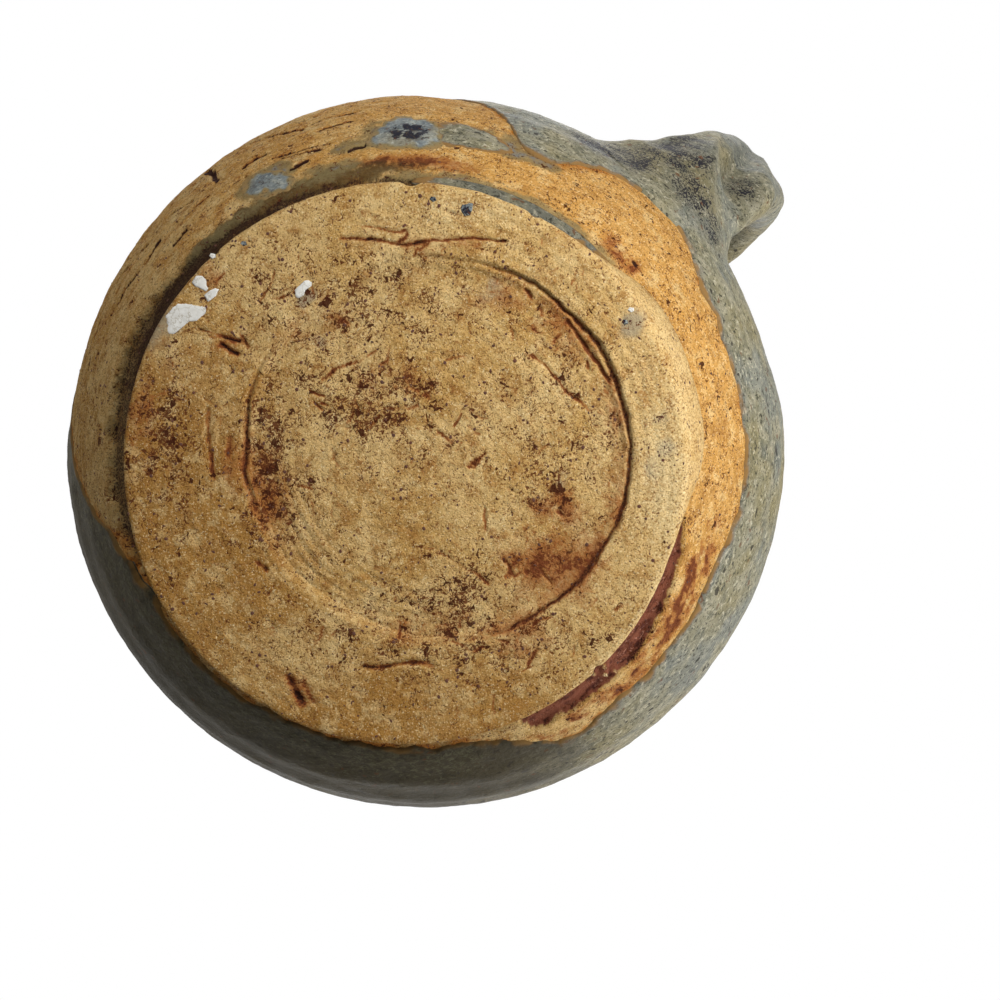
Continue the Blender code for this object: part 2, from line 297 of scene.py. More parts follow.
print("a bell falls to", round(float(bell(1.0, 1.0)), 2), "at its half width")

# %% [markdown]
# Rings of points become a piece when faces join each ring to the next and the ends are closed. A screw
# modifier could turn a profile too, but then every ring would be a true circle. Here each point can differ.
# Marks, such as where rust lies, are stored with the points as named values, which a finish can read.


# %% A skin over rings
def skin(name, rings, material, start_pole=None, end_pole=None, hollow=False, marks=None):
    """A smooth mesh over rings of points (rings x points x 3, in mm). Marks are for its first rings."""
    rings = np.asarray(rings, dtype=float)
    count, around, _ = rings.shape
    verts = [tuple(p) for p in rings.reshape(-1, 3)]
    here = np.arange(around)
    following = (here + 1) % around
    faces = []
    last = count if hollow else count - 1
    for row in range(last):
        low, high = row * around, (row + 1) % count * around
        faces += np.stack([low + here, low + following, high + following, high + here], 1).tolist()
    for pole, base, inward in ((start_pole, 0, True), (end_pole, (count - 1) * around, False)):
        if pole is not None:
            tip = len(verts)
            verts.append(tuple(pole))
            ring = zip((base + following).tolist(), (base + here).tolist())
            faces += [(tip, a, b) if inward else (tip, b, a) for a, b in ring]
    verts = [((x * MM) + AXIS_X, y * MM, z * MM) for x, y, z in verts]
    mesh = bpy.data.meshes.new(name)
    mesh.from_pydata(verts, [], faces)
    for mark, values in (marks or {}).items():
        padded = np.zeros(len(verts), dtype=np.float32)
        padded[: values.size] = np.clip(values, 0, 1).ravel()
        mesh.attributes.new(mark, "FLOAT", "POINT").data.foreach_set("value", padded)
    made = bmesh.new()
    made.from_mesh(mesh)
    bmesh.ops.recalc_face_normals(made, faces=made.faces)
    made.to_mesh(mesh)
    made.free()
    mesh.shade_smooth()
    mesh.materials.append(material)
    piece = bpy.data.objects.new(name, mesh)
    bpy.context.scene.collection.objects.link(piece)
    print(name, len(mesh.polygons), "faces")
    return piece


# %% [markdown]
# ## The bare clay's finish
# Unglazed stoneware is matt and gritty. The flame toasts it from straw to orange, iron leaves dark torn
# specks, and wood ash leaves rusty flashes. One flat brown would look like plastic, so the colour is laid
# in coats, each spread by a noise of its own real size. Where a coat belongs is drawn on the mesh as a
# named mark, and the noise breaks up its edge. The list of coats is easy to read and to change, and one
# loop turns it into nodes.


# %% Coats of colour
def lay_patterns(tree, sizes):
    """Noises at real sizes. Each has its grain in mm, its detail, its roughness, its twist, and how many
    times longer its grain is along the pot's rings than up its wall."""
    place = add(tree, "ShaderNodeTexCoord").outputs["Object"]
    patterns = {}
    for name, (grain_mm, detail, rough, twist, stretch) in sizes.items():
        drawn = add(tree, "ShaderNodeMapping", {"Scale": (1 / stretch, 1 / stretch, 1)}, {"Vector": place})
        settings = {"Scale": 1 / (grain_mm * MM), "Detail": detail, "Roughness": rough, "Distortion": twist}
        texture = add(tree, "ShaderNodeTexNoise", settings, {"Vector": drawn.outputs[0]})
        patterns[name] = texture.outputs["Fac"]
    return patterns


def lay_coats(tree, patterns, ground, coats):
    """Lay colours over a ground colour. A coat has its colour, the pattern that spreads it, the value at
    which it starts and the one at which it is full, its strength and, if it is bounded, a mark. The mark is
    added to the pattern, so a coat that starts near 1 shows only where its mark is strong, with an edge that
    the pattern breaks up."""
    tone = ground
    for code, pattern, start, full, strength, mark in coats:
        value = patterns[pattern]
        if mark:
            bound = add(tree, "ShaderNodeAttribute", {"attribute_name": mark})
            links = {0: value, 1: bound.outputs["Fac"]}
            value = add(tree, "ShaderNodeMath", {"operation": "ADD"}, links).outputs[0]
        settings = {"From Min": start, "From Max": full, "To Max": strength}
        settings["interpolation_type"] = "SMOOTHSTEP"
        amount = add(tree, "ShaderNodeMapRange", settings, {"Value": value})
        settings = {"data_type": "RGBA", MIX_B: colour(code)}
        links = {MIX_FACTOR: amount.outputs[0]}
        if isinstance(tone, str):
            settings[MIX_A] = colour(tone)
        else:
            links[MIX_A] = tone
        tone = add(tree, "ShaderNodeMix", settings, links).outputs[MIX_OUT]
    return tone


# %% [markdown]
# Clay and glaze differ in their coats, but not in how the coats go together. Each could be built by hand,
# with most nodes twice. One function takes the lists instead and adds what both share: a roughness that
# varies with a noise, a weak sheen, and a bump for relief that is too shallow to be worth faces.


# %% A finish made of coats
def new_finish(name):
    """A material with its node tree and its shader."""
    made = bpy.data.materials.new(name)
    made.use_nodes = True
    return made, made.node_tree, made.node_tree.nodes["Principled BSDF"]


SHEEN = 0.1
BUMP_STRENGTH = 0.8


def coated(name, sizes, ground, coats, rough, relief, depth_mm):
    """A dry or satin finish laid in coats. Rough has a pattern and the least and most roughness. Relief has
    two patterns with the first one's share between them, for a bump too shallow to be worth faces."""
    made, tree, shader = new_finish(name)
    patterns = lay_patterns(tree, sizes)
    tree.links.new(lay_coats(tree, patterns, ground, coats), shader.inputs["Base Color"])
    rough_pattern, least, most = rough
    settings = {"To Min": least, "To Max": most}
    dry = add(tree, "ShaderNodeMapRange", settings, {"Value": patterns[rough_pattern]})
    tree.links.new(dry.outputs[0], shader.inputs["Roughness"])
    shader.inputs["Specular IOR Level"].default_value = SHEEN
    first, share, second = relief
    links = {0: patterns[first], 2: patterns[second]}
    height = add(tree, "ShaderNodeMath", {"operation": "MULTIPLY_ADD", 1: share}, links)
    settings = {"Strength": BUMP_STRENGTH, "Distance": depth_mm * MM}
    bump = add(tree, "ShaderNodeBump", settings, {"Height": height.outputs[0]})
    tree.links.new(bump.outputs[0], shader.inputs["Normal"])
    return made


# %% [markdown]
# The clay's own list starts with broad clouds and ends with dark grains, stains and painted shade, so that
# small marks lie on top. Its colours are those of clay with iron in it, fired in smoke: straw, ochre, rust
# and a brown that is almost black.

# %% Fired clay
CLAY_GROUND = "#D6B274"
CLAY_PATTERNS = {
    "clouds": (15.0, 4.0, 0.6, 0.0, 1.0),
    "blotches": (3.4, 5.0, 0.65, 0.3, 1.0),
    "drawn": (0.85, 4.0, 0.65, 0.3, 3.2),
    "torn": (0.95, 6.0, 0.72, 0.7, 1.0),
    "worms": (0.55, 3.0, 0.65, 1.2, 1.0),
    "flecks": (1.25, 2.0, 0.6, 0.6, 1.0),
    "scuffs": (1.7, 6.0, 0.75, 2.2, 1.0),
    "sand": (0.30, 2.0, 0.6, 0.0, 1.0),
}
CLAY_COATS = [
    ("#C69C58", "clouds", 0.42, 0.62, 0.8, None),
    # Painted shade, partly smoke: brown on the lower left and bottom of the picture.
    ("#AC7C3A", "clouds", 0.75, 1.40, 0.9, "smoke_and_shade"),
    ("#D39C4E", "blotches", 0.80, 1.35, 0.85, "toast"),
    ("#E6C98F", "blotches", 0.48, 0.34, 0.5, None),
    ("#AA7A40", "blotches", 0.50, 0.68, 0.5, None),
    ("#A8773A", "drawn", 0.52, 0.66, 0.65, None),
    ("#E6C284", "drawn", 0.47, 0.36, 0.55, None),
    ("#F2DDAC", "sand", 0.60, 0.68, 0.75, None),
    ("#7A5026", "sand", 0.42, 0.34, 0.8, None),
    ("#B5702A", "blotches", 0.90, 1.40, 0.85, "scorch"),
    ("#A99B7E", "blotches", 0.95, 1.40, 0.8, "ash"),
    ("#8E5A2C", "torn", 0.575, 0.635, 0.7, None),
    ("#6A381E", "scuffs", 0.625, 0.65, 0.85, None),
    ("#A0602F", "torn", 0.85, 1.40, 0.85, "rust"),
    ("#642C18", "torn", 1.34, 1.48, 0.8, "rust"),
    # Painted shadow of the foot on the wall by the groove, partly soot.
    ("#43351E", "torn", 0.85, 1.35, 0.85, "soot_and_shadow"),
    ("#857650", "blotches", 0.80, 1.10, 0.8, "splash"),
    ("#727E84", "blotches", 1.18, 1.60, 0.9, "splash"),
    # Painted light, partly wear: paler clay where the window falls on the right of the foot.
    ("#F0D9A4", "sand", 0.85, 1.35, 0.8, "worn_and_lit"),
    ("#7F4535", "torn", 0.75, 1.15, 0.95, "maroon"),
    ("#3A1917", "drawn", 1.38, 1.60, 0.8, "maroon"),
    ("#B88068", "torn", 1.54, 1.60, 0.8, "maroon"),
    ("#5E2E16", "worms", 0.835, 0.875, 0.92, "grit"),
    ("#45200F", "flecks", 0.925, 0.955, 0.95, "grit"),
    # Dark stains, and painted shade in the crease, the groove, the gouge and the undercut of the foot.
    ("#2C1711", "sand", 0.80, 1.25, 0.95, "stain_and_shade"),
]
# Stoneware with grog and iron is dry, rough and warm ochre, with rust, toast, ash, dark stains, painted shade
# and painted light in places.
# Sand stands up in its relief, and worm holes go in. The surface is its roughness, relief and depth in mm.
CLAY_SURFACE = (("sand", 0.75, 0.98), ("worms", -1.2, "torn"), 0.34)
clay = coated("unglazed_stoneware", CLAY_PATTERNS, CLAY_GROUND, CLAY_COATS, *CLAY_SURFACE)
print(clay.name, len(clay.node_tree.nodes), "nodes")

# %% [markdown]
# ## The ash glaze's finish
# Ash glaze is a glass full of tiny crystals. It is satin, not shiny, and its grey-green is mottled at the
# scale of a millimetre, with blue where it lies thick and brown where it thins to an edge. Dark cobalt and
# iron crystals gather where it pooled. The crystals are also felt as a fine unevenness, so the same noise
# drives a shallow bump.

# %% Ash glaze
GLAZE_GROUND, SPLASH_GROUND = "#847F67", "#7B8282"
GLAZE_PATTERNS = {
    "clouds": (12.0, 3.0, 0.55, 0.0, 1.0),
    "mottle": (2.3, 4.0, 0.64, 0.4, 1.5),
    "streaks": (0.66, 5.0, 0.72, 0.6, 1.5),
    "needles": (1.05, 2.5, 0.62, 2.6, 1.0),
    "fine": (0.36, 2.0, 0.60, 0.0, 1.3),
    "spots": (1.5, 1.5, 0.50, 0.3, 1.2),
}
GLAZE_COATS = [
    ("#A39D86", "mottle", 0.48, 0.66, 0.75, None),
    ("#605F50", "mottle", 0.50, 0.35, 0.75, None),
    ("#787D78", "clouds", 0.50, 0.64, 0.6, None),
    ("#8A7D52", "clouds", 0.50, 0.36, 0.5, None),
    ("#606363", "mottle", 0.80, 1.30, 0.75, "thin"),
    ("#C5BEA6", "streaks", 0.54, 0.66, 0.8, None),
    # This coat and the three more on the smoke mark below are painted shade, partly smoke, on the lower left
    # of the picture.
    ("#30291A", "clouds", 0.60, 1.25, 0.86, "smoke_and_shade"),
    ("#2A2B22", "streaks", 0.46, 0.35, 0.9, None),
    ("#66644C", "streaks", 1.48, 1.60, 0.85, "smoke_and_shade"),
    ("#121007", "mottle", 1.56, 1.68, 0.8, "smoke_and_shade"),
    # Painted shade: a weak grey darkening round the crystal pools, on the handle's low root.
    ("#4A4740", "mottle", 0.60, 1.20, 0.4, "crystals_and_shade"),
    ("#15141F", "needles", 1.06, 1.12, 0.95, "crystals_and_shade"),
    ("#2A2721", "fine", 0.60, 0.66, 0.85, None),
    ("#613A20", "spots", 0.68, 0.74, 0.75, None),
    ("#241F1B", "spots", 0.34, 0.28, 0.85, None),
    ("#8E6A38", "mottle", 1.00, 1.45, 0.9, "thin"),
    ("#2E2409", "clouds", 0.60, 1.25, 0.42, "smoke_and_shade"),
]
SPLASH_COATS = [
    ("#A6A89C", "mottle", 0.48, 0.64, 0.85, None),
    ("#545B5F", "mottle", 0.50, 0.36, 0.8, None),
    ("#857650", "clouds", 0.48, 0.38, 0.5, None),
    ("#BCBDB0", "fine", 0.56, 0.70, 0.6, None),
    ("#131320", "streaks", 1.06, 1.13, 0.97, "crystals_and_shade"),
    ("#857650", "mottle", 0.85, 1.30, 0.9, "thin"),
    ("#A07B45", "mottle", 1.20, 1.55, 0.6, "thin"),
    ("#4A4030", "fine", 0.44, 0.34, 0.7, None),
    ("#6A3E20", "streaks", 0.60, 0.66, 0.7, None),
]
# Ash glaze is satin and mottled, with crystals, and thin and brown along its edge. Cobalt makes it blue-grey.
GLAZE_SURFACE = (("mottle", 0.50, 0.80), ("streaks", 0.5, "mottle"), 0.30)
glaze = coated("satin_ash_glaze", GLAZE_PATTERNS, GLAZE_GROUND, GLAZE_COATS, *GLAZE_SURFACE)
cobalt = coated("cobalt_ash_glaze", GLAZE_PATTERNS, SPLASH_GROUND, SPLASH_COATS, *GLAZE_SURFACE)
print(glaze.name, len(glaze.node_tree.nodes), "nodes")

# %% [markdown]
# ## The turned foot
# The foot is a slab that was turned on the wheel: a flat ring to stand on, a shallow recess cut off centre,
# and a side that is undercut round most of the way. A disc with a bump map would do from far off, but here
# the camera is close, and a crease or a nick has to catch the light. So the foot is a fine grid of rings,
# and each mark of the turning tool is a real hollow in it.

# %% Nicks and drags
# Nicks and drags of the turning tool: two ends right and up of the foot's middle, half width and depth in mm.
NICKS = [
    ((-9.0, 33.6), (3.5, 33.1), 0.24, 0.50),
    ((2.5, 33.3), (15.5, 33.4), 0.20, 0.45),
    ((-6.5, 35.4), (1.0, 34.8), 0.20, 0.30),
    ((-6.0, -30.0), (4.6, -29.8), 0.34, 0.50),
    ((-17.4, -31.6), (-15.0, -36.0), 0.50, 0.55),
    ((-14.8, -32.4), (-13.6, -35.6), 0.35, 0.45),
    ((-21.8, -14.6), (-20.4, -15.6), 0.45, 0.55),
    ((-29.2, 8.6), (-28.2, -2.0), 0.34, 0.40),
    ((24.5, 22.0), (31.0, 12.5), 0.30, 0.40),
    ((19.5, 16.0), (27.5, 8.5), 0.26, 0.35),
    ((-30.2, 20.4), (-26.0, 18.8), 0.28, 0.55),
    ((-28.6, 19.2), (-24.0, 18.6), 0.30, 0.60),
    ((-27.4, 17.9), (-24.6, 16.4), 0.40, 0.65),
    ((-24.2, 20.4), (-22.8, 17.4), 0.26, 0.55),
    ((-12.0, 13.0), (-3.0, 17.5), 0.24, 0.28),
    ((4.0, -12.0), (13.0, -17.5), 0.24, 0.28),
]
# Many short drags of grit lie round the wheel's turn.
DRAGS, DRAG_REACH = 120, 40
dice = np.random.default_rng(11)
for _ in range(DRAGS):
    drag_turn = dice.uniform(0, 2 * math.pi)
    drag_out = DRAG_REACH * math.sqrt(dice.uniform(0.02, 1))
    middle = drag_out * np.array([math.cos(drag_turn), math.sin(drag_turn)])
    way = drag_turn + dice.choice([0.5, 0.5, 1.0]) * math.pi + dice.normal(0, 0.6)
    half = dice.uniform(0.3, 1.6) * np.array([math.cos(way), math.sin(way)])
    NICKS.append((middle - half, middle + half, dice.uniform(0.16, 0.30), dice.uniform(0.16, 0.34)))
print(len(NICKS), "nicks and drags on the foot")

# %% [markdown]
# The relief of the underside is one function that gives the clay's height at any place. A displacement map
# could do it too, but a function can be asked again later, when flakes have to lie on the same surface. The
# recess has a crease that is deep where the tool was pressed and fades where it was let go.


# %% Relief of the underside
RECESS_RADIUS = 28.8
RECESS_DEPTH = 0.9
RECESS_SHIFT = 5.5
RECESS_TURN = math.radians(16)
recess_x, recess_y = RECESS_SHIFT * math.cos(RECESS_TURN), RECESS_SHIFT * math.sin(RECESS_TURN)
recess_right, recess_up = flip(recess_x, recess_y)


def near_line(right, up, start, end):
    """Distance in mm from a straight stroke."""
    start, end = np.array(start), np.array(end)
    run = end - start
    share = np.clip(((right - start[0]) * run[0] + (up - start[1]) * run[1]) / (run @ run), 0, 1)
    return np.hypot(right - start[0] - share * run[0], up - start[1] - share * run[1])


FAINT_RINGS = (21.4, 23.0, 24.4, 25.6, 27.4)


def foot_marks(x, y):
    """At points in mm: the underside's height over the table, its rust, its nicks and its crease."""
    right, up = flip(x, y)
    points = np.stack([x, y, np.zeros_like(x)], -1)
    wobble = lumps(points, 9, 1)
    out = np.hypot(x - recess_x, y - recess_y) + 0.7 * wobble + 0.15 * lumps(points, 2, 31)
    turn = turn_in_picture(right - recess_right, up - recess_up)
    strong = np.clip(1.3 * arc(turn, -4, 70) + 0.9 * arc(turn, 176, 28) + 0.3 * arc(turn, 85, 30), 0, 1)
    torn = lumps(points, 1.4, 47)
    from_crease = out - RECESS_RADIUS + 0.2 + 0.25 * torn
    crease = bell(from_crease, 0.42 + 0.2 * lumps(points, 3, 48)) * strong
    faint = sum(bell(out - ring, 0.28) for ring in FAINT_RINGS) * arc(turn, 228, 46)
    stray_right = right + 0.7 * lumps(points, 4, 32) + 0.25 * lumps(points, 1.3, 33)
    stray_up = up + 0.7 * lumps(points, 4, 34) + 0.25 * lumps(points, 1.3, 35)
    nicks = np.zeros_like(x)
    for start, end, width, depth in NICKS:
        from_nick = near_line(stray_right, stray_up, start, end)
        nicks = np.maximum(nicks, depth * bell(from_nick, width, 4))
    nicks = nicks * np.clip(0.75 + 0.7 * lumps(points, 1.6, 2), 0, 1.2)
    turning = 0.04 * np.sin(2 * math.pi * np.hypot(x, y) / 1.7 + 2 * wobble)
    recess = ease((RECESS_RADIUS + 0.5 - out) / 2.6)
    height = 0.16 + RECESS_DEPTH * recess + 0.75 * crease + 0.16 * faint + nicks + turning
    height = height + 0.12 * lumps(points, 5, 3) + 0.09 * lumps(points, 1.3, 4)
    burnt = np.clip(1.2 * arc(turn, -6, 88) + 0.8 * arc(turn, 176, 45), 0, 1)
    inner_side = np.exp(-np.clip(RECESS_RADIUS - out, 0, 99) / 4.5) * (out < RECESS_RADIUS) * burnt
    return np.maximum(height, 0.0), np.maximum(crease, 0.6 * inner_side), nicks, crease


# %% [markdown]
# The underside's rings run round the recess, which is off the foot's middle, and then blend into the rim.
# They lie closest at the crease, because fine marks need points close together. An even grid that fine
# would be about twice as large. The rim isn't a true circle: it wanders a little and is chipped.

# %% Rings of the underside
COLUMNS = 600
turns = np.linspace(0, 2 * math.pi, COLUMNS, endpoint=False)
circle = np.stack([np.cos(turns), np.sin(turns)], -1)
edge_right, edge_up = flip(circle[:, 0], circle[:, 1])
edge_turn = turn_in_picture(edge_right, edge_up)

# A chip has its angle in the picture, its half arc in degrees and its depth in mm.
CHIPS = [(88, 1.6, 0.6), (-46, 0.9, 0.45), (-120, 1.2, 0.3), (62, 1.0, 0.3), (131, 0.8, 0.25)]
rim = FOOT_RADIUS + 0.22 * lumps(np.stack([*(8 * circle.T), np.zeros(COLUMNS)], -1), 2.2, 5)
rim = rim + 0.08 * lumps(np.stack([*(42 * circle.T), np.zeros(COLUMNS)], -1), 1.5, 36)
for chip_turn, chip_half, chip_depth in CHIPS:
    rim = rim - chip_depth * arc(edge_turn, chip_turn, chip_half)
ROUNDING = 0.7
inner = np.linspace(0.5, RECESS_RADIUS - 3, 72)
inner = np.concatenate([inner, np.linspace(RECESS_RADIUS - 2.85, RECESS_RADIUS + 1.5, 30)])
recess_middle = np.array([recess_x, recess_y])
under = [recess_middle + d * circle for d in inner]
last_round = under[-1]
for share in np.linspace(0, 1, 37)[1:]:
    under.append((1 - share) * last_round + share * (rim - ROUNDING)[:, None] * circle)
under = np.array(under)
under_height, crease_rust, nicks, crease = foot_marks(under[..., 0], under[..., 1])
print("underside", under.shape[0], "rings, deepest mark", round(float(under_height.max()), 2), "mm")

# %% [markdown]
# The foot's side has two shapes. Round most of it the tool cut under, which leaves a dark groove below the
# wall. On the right of the picture it only shaved a slope that runs on into the wall. Both are short
# profiles with the same number of points, and each ring of the side is a blend of them.

# %% The foot's side
UNDERCUT = [
    (-0.35, 0.10), (-0.10, 0.35), (0.0, 0.8), (0.0, 1.6), (-0.3, 2.6), (-1.1, 3.7), (-2.0, 4.8), (-3.0, 5.6),
]
SLOPE = [(-0.30, 0.06), (0.15, 0.22), (0.7, 0.9), (1.4, 2.2), (2.2, 4.0), (3.0, 5.9), (3.6, 7.7), (2.9, 9.4)]
TOP_RISE = 5.9
slope_share = arc(edge_turn, 18, 29)
side_rings = []
for (cut_out, cut_up), (slope_out, slope_up) in zip(UNDERCUT, SLOPE):
    reach = rim + cut_out + (slope_out - cut_out) * slope_share
    rise = cut_up + (slope_up - cut_up) * slope_share + under_height[-1] * max(0.0, 1 - cut_up)
    side_rings.append(np.concatenate([reach[:, None] * circle, rise[:, None]], 1))
top_ring = np.concatenate([(rim - 8)[:, None] * circle, np.full((COLUMNS, 1), TOP_RISE)], 1)
foot_rings = np.concatenate([np.concatenate([under, under_height[..., None]], -1), side_rings, [top_ring]])
foot_rings[:, :, 2] += 0.03 * lumps(foot_rings, 0.9, 6) * (foot_rings[:, :, 2] > 0.15)
print("foot of", foot_rings.shape[0], "rings with", foot_rings.shape[1], "points each")

# %% [markdown]
# The fire coloured the foot in patches, and more patches paint shade on its lower left and light on its
# right.
# Each patch is an oval with a soft edge, placed one by one, and its strength goes into a mark on the mesh
# that the clay's finish reads. Hollows are marked from the relief itself, so that dirt, iron and painted
# shade sit in the creases whatever their shape.

# %% Patches of colour on the foot
# Middle right and up, half sizes in mm, and strength.
RUST = [
    ((24, 20), (8, 7), 0.5), ((31, 9), (5, 7), 0.42), ((32, -4), (4, 9), 0.42), ((27, -16), (7, 8), 0.75),
    ((18, -26), (7, 5), 0.8), ((14, 25), (7, 4), 0.6), ((-25, 0), (3, 7), 0.8), ((-39, 7), (3.5, 9), 0.9),
    ((23, -6), (5, 4), 1.0), ((-2, 12), (13, 6), 0.62), ((-20, -4), (6, 10), 0.6), ((-26, 18), (4, 2), 0.8),
    ((0, -24), (15, 5), 0.6), ((5, 33), (15, 2), 0.75), ((-15, -34), (4, 4), 0.75), ((-28, 28), (3, 5), 0.7),
    ((-35, 14), (4, 5), 0.6), ((8, 2), (10, 8), 0.5), ((-12, 22), (12, 6), 0.55), ((20, -14), (9, 7), 0.85),
]
ASH = [
    ((38, 2), (4, 13), 0.75), ((34, 21), (3, 4), 0.95), ((-36, 21), (4, 8), 0.9), ((13, 26), (3, 3), 0.95),
    ((-14, 25), (2.5, 2.5), 0.95), ((-24, 31), (4, 3), 0.6), ((-12, 19), (3, 2), 0.7),
    ((24, -2), (2, 3), 0.7),
]
GRIT = [
    ((-20, 0), (6, 14), 1.0), ((6, -25), (24, 8), 0.75), ((24, 6), (9, 16), 0.55), ((-8, 24), (22, 9), 0.7),
    ((-4, 10), (14, 7), 1.0), ((22, -4), (5, 5), 1.0), ((10, -18), (8, 8), 0.8), ((-36, 4), (6, 12), 1.0),
]
# Painted shade, partly smoke: patches on the lower left and bottom, where the window's light falls off.
SMOKE_AND_SHADE = [((-40, -10), (32, 46), 1.0), ((0, -44), (44, 22), 0.9), ((-4, 0), (20, 24), 0.45)]


def patches(right, up, places):
    """Soft oval patches, as a share from 0 to 1."""
    total = np.zeros_like(right)
    for (r, u), (half_right, half_up), strength in places:
        oval = ((right - r) / half_right) ** 2 + ((up - u) / half_up) ** 2
        total = np.maximum(total, strength * np.exp(-oval))
    return total


foot_right, foot_up = flip(foot_rings[..., 0], foot_rings[..., 1])
blotch = lumps(foot_rings, 2.6, 7)
rust = 0.9 * patches(foot_right, foot_up, RUST) * (0.95 + 0.5 * blotch)
stain_and_shade = np.zeros(rust.shape)
rows_under = len(under)
rust[:rows_under] += 0.7 * crease_rust + 0.8 * np.clip(nicks * 4, 0, 1)
# The crease is darkened with painted shade, partly dirt, and the nicks are darkened too.
stain_and_shade[:rows_under] = 0.55 * ease((crease - 0.30) * 1.8) + 2.0 * np.clip(nicks - 0.16, 0, 1)
side_share = np.zeros(rust.shape)
side_share[rows_under + 3 :] = 1
# Painted shade in the undercut side of the foot, strongest on the upper left of the picture.
stain_and_shade += side_share * (1 - slope_share) * (0.15 + 0.55 * arc(edge_turn, 135, 62))
rim_share = np.zeros(rust.shape)
rim_share[rows_under - 2 : rows_under + 3] = 1
# Painted light, partly wear: the right of the foot, its rim there and the slope of its side are paler.
WORN_AND_LIT = [((40, -2), (9, 26), 0.6), ((10, 38), (20, 6), 0.5)]
worn_and_lit = np.maximum(patches(foot_right, foot_up, WORN_AND_LIT), 0.55 * rim_share * arc(edge_turn, -15, 55))
worn_and_lit = np.where(side_share > 0, 0.5 * slope_share, worn_and_lit)
foot_paint = {
    "rust": rust,
    "ash": patches(foot_right, foot_up, ASH) * (0.9 + 0.5 * blotch),
    "stain_and_shade": stain_and_shade,
    "grit": 0.205 + 0.14 * patches(foot_right, foot_up, GRIT) + 0.12 * blotch,
    "smoke_and_shade": patches(foot_right, foot_up, SMOKE_AND_SHADE),
    "worn_and_lit": worn_and_lit,
}
foot_pole = (recess_x, recess_y, float(under_height[0].mean()))
turned_foot = skin("turned_foot", foot_rings, clay, foot_pole, (0, 0, TOP_RISE), marks=foot_paint)
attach(turned_foot, "root")
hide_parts("foot_disc")

# %% [markdown]
# ## The thrown wall
# The wall's profile follows a rule: an oval up to the belly, an easy curve in to the neck and a flare at
# the rim. The spout pulls the last quarter out on one side. Below the glaze the clay is bare, and there the
# turning tool left rings, a deep torn groove beside the foot and a crumbly edge. All of that is modelled in
# the same grid.

# %% The wall's profile
BELLY_HEIGHT = 44.0
NECK_RADIUS = 41.0
NECK_HEIGHT = 116.0
RIM_RADIUS = 47.0
GROOVE_RADIUS = 41.0
WALL = 4.8
FLOOR_TOP = WALL_BOTTOM + 5.0
LIP_START = HEIGHT - WALL / 2


def wall_radius(z):
    """Outer radius of the clay at heights in mm."""
    z = np.asarray(z, dtype=float)
    oval_half = (BELLY_HEIGHT - WALL_BOTTOM) / math.sqrt(1 - (GROOVE_RADIUS / BELLY_RADIUS) ** 2)
    oval = BELLY_RADIUS * np.sqrt(np.clip(1 - ((BELLY_HEIGHT - z) / oval_half) ** 2, 0.01, 1))
    swing = math.pi * np.clip((z - BELLY_HEIGHT) / (NECK_HEIGHT - BELLY_HEIGHT), 0, 1)
    shoulder = NECK_RADIUS + (BELLY_RADIUS - NECK_RADIUS) * (1 + np.cos(swing)) / 2
    flare = NECK_RADIUS + (RIM_RADIUS - NECK_RADIUS) * ((z - NECK_HEIGHT) / (LIP_START - NECK_HEIGHT)) ** 2
    return np.where(z < BELLY_HEIGHT, oval, np.where(z < NECK_HEIGHT, shoulder, flare))


def wall_slope(z):
    """How fast the wall's radius grows with height."""
    return (wall_radius(z + 0.01) - wall_radius(z - 0.01)) / 0.02


profile = (BELLY_HEIGHT, NECK_HEIGHT, LIP_START)
print("radius at belly, neck and rim:", [round(float(wall_radius(z)), 1) for z in profile])

# %% [markdown]
# Glaze, handle and splashes all lie on the wall, so they ask where it is at an angle and a height. The
# spout, pulled out of the soft rim, and the dents beside the handle's low root are part of the answer. They
# could be sculpted later, but then each piece on the wall would have to be moved by hand to follow them.

# %% Points on the wall
SPOUT_REACH = 14.0
SPOUT_LENGTH = 34.0
SPOUT_HALF = math.radians(24)


def spout_pull(turn, z):
    """How far the spout pulls the wall out, in mm, on the side away from the handle."""
    off = np.abs(turn % (2 * math.pi) - math.pi)
    return SPOUT_REACH * ease((z - HEIGHT + SPOUT_LENGTH) / SPOUT_LENGTH) * bell(off, SPOUT_HALF)


def picture_turn(turn):
    """The angle in the picture, in degrees, of an angle round the pot."""
    return (math.degrees(HANDLE_TURN) - np.degrees(turn) + 180) % 360 - 180


def pressed(turn, z):
    """How far the wall gave way on both sides of the low root, when the potter pressed the root on."""
    seen = picture_turn(turn)
    return (arc(seen, 72, 18) + arc(seen, 22, 12)) * bell(z - 44, 22)


def on_wall(turn, z, offset=0.0, inside=False):
    """Points on the wall's outer or inner face, moved out of the clay by an offset, all in mm."""
    turn, z = np.broadcast_arrays(np.asarray(turn, dtype=float), np.asarray(z, dtype=float))
    slope = wall_slope(z)
    length = np.hypot(1, slope)
    sign = -1.0 if inside else 1.0
    reach = wall_radius(z) - (WALL * length if inside else 0.0) + sign * offset / length + spout_pull(turn, z)
    if not inside:
        reach = reach - pressed(turn, z)
    return np.stack([reach * np.cos(turn), reach * np.sin(turn), z - sign * offset * slope / length], -1)


def lip(turn, roll, offset=0.0):
    """Points on the rounded lip: roll is 0 at its outer edge and pi at its inner edge."""
    turn, roll = np.broadcast_arrays(turn, roll)
    z = LIP_START + (WALL / 2 + offset) * np.sin(roll)
    reach = RIM_RADIUS - WALL / 2 + (WALL / 2 + offset) * np.cos(roll) + spout_pull(turn, z)
    return np.stack([reach * np.cos(turn), reach * np.sin(turn), z], -1)


print("spout's edge at", [round(float(v), 1) for v in lip(math.pi, 0.0)], "mm")

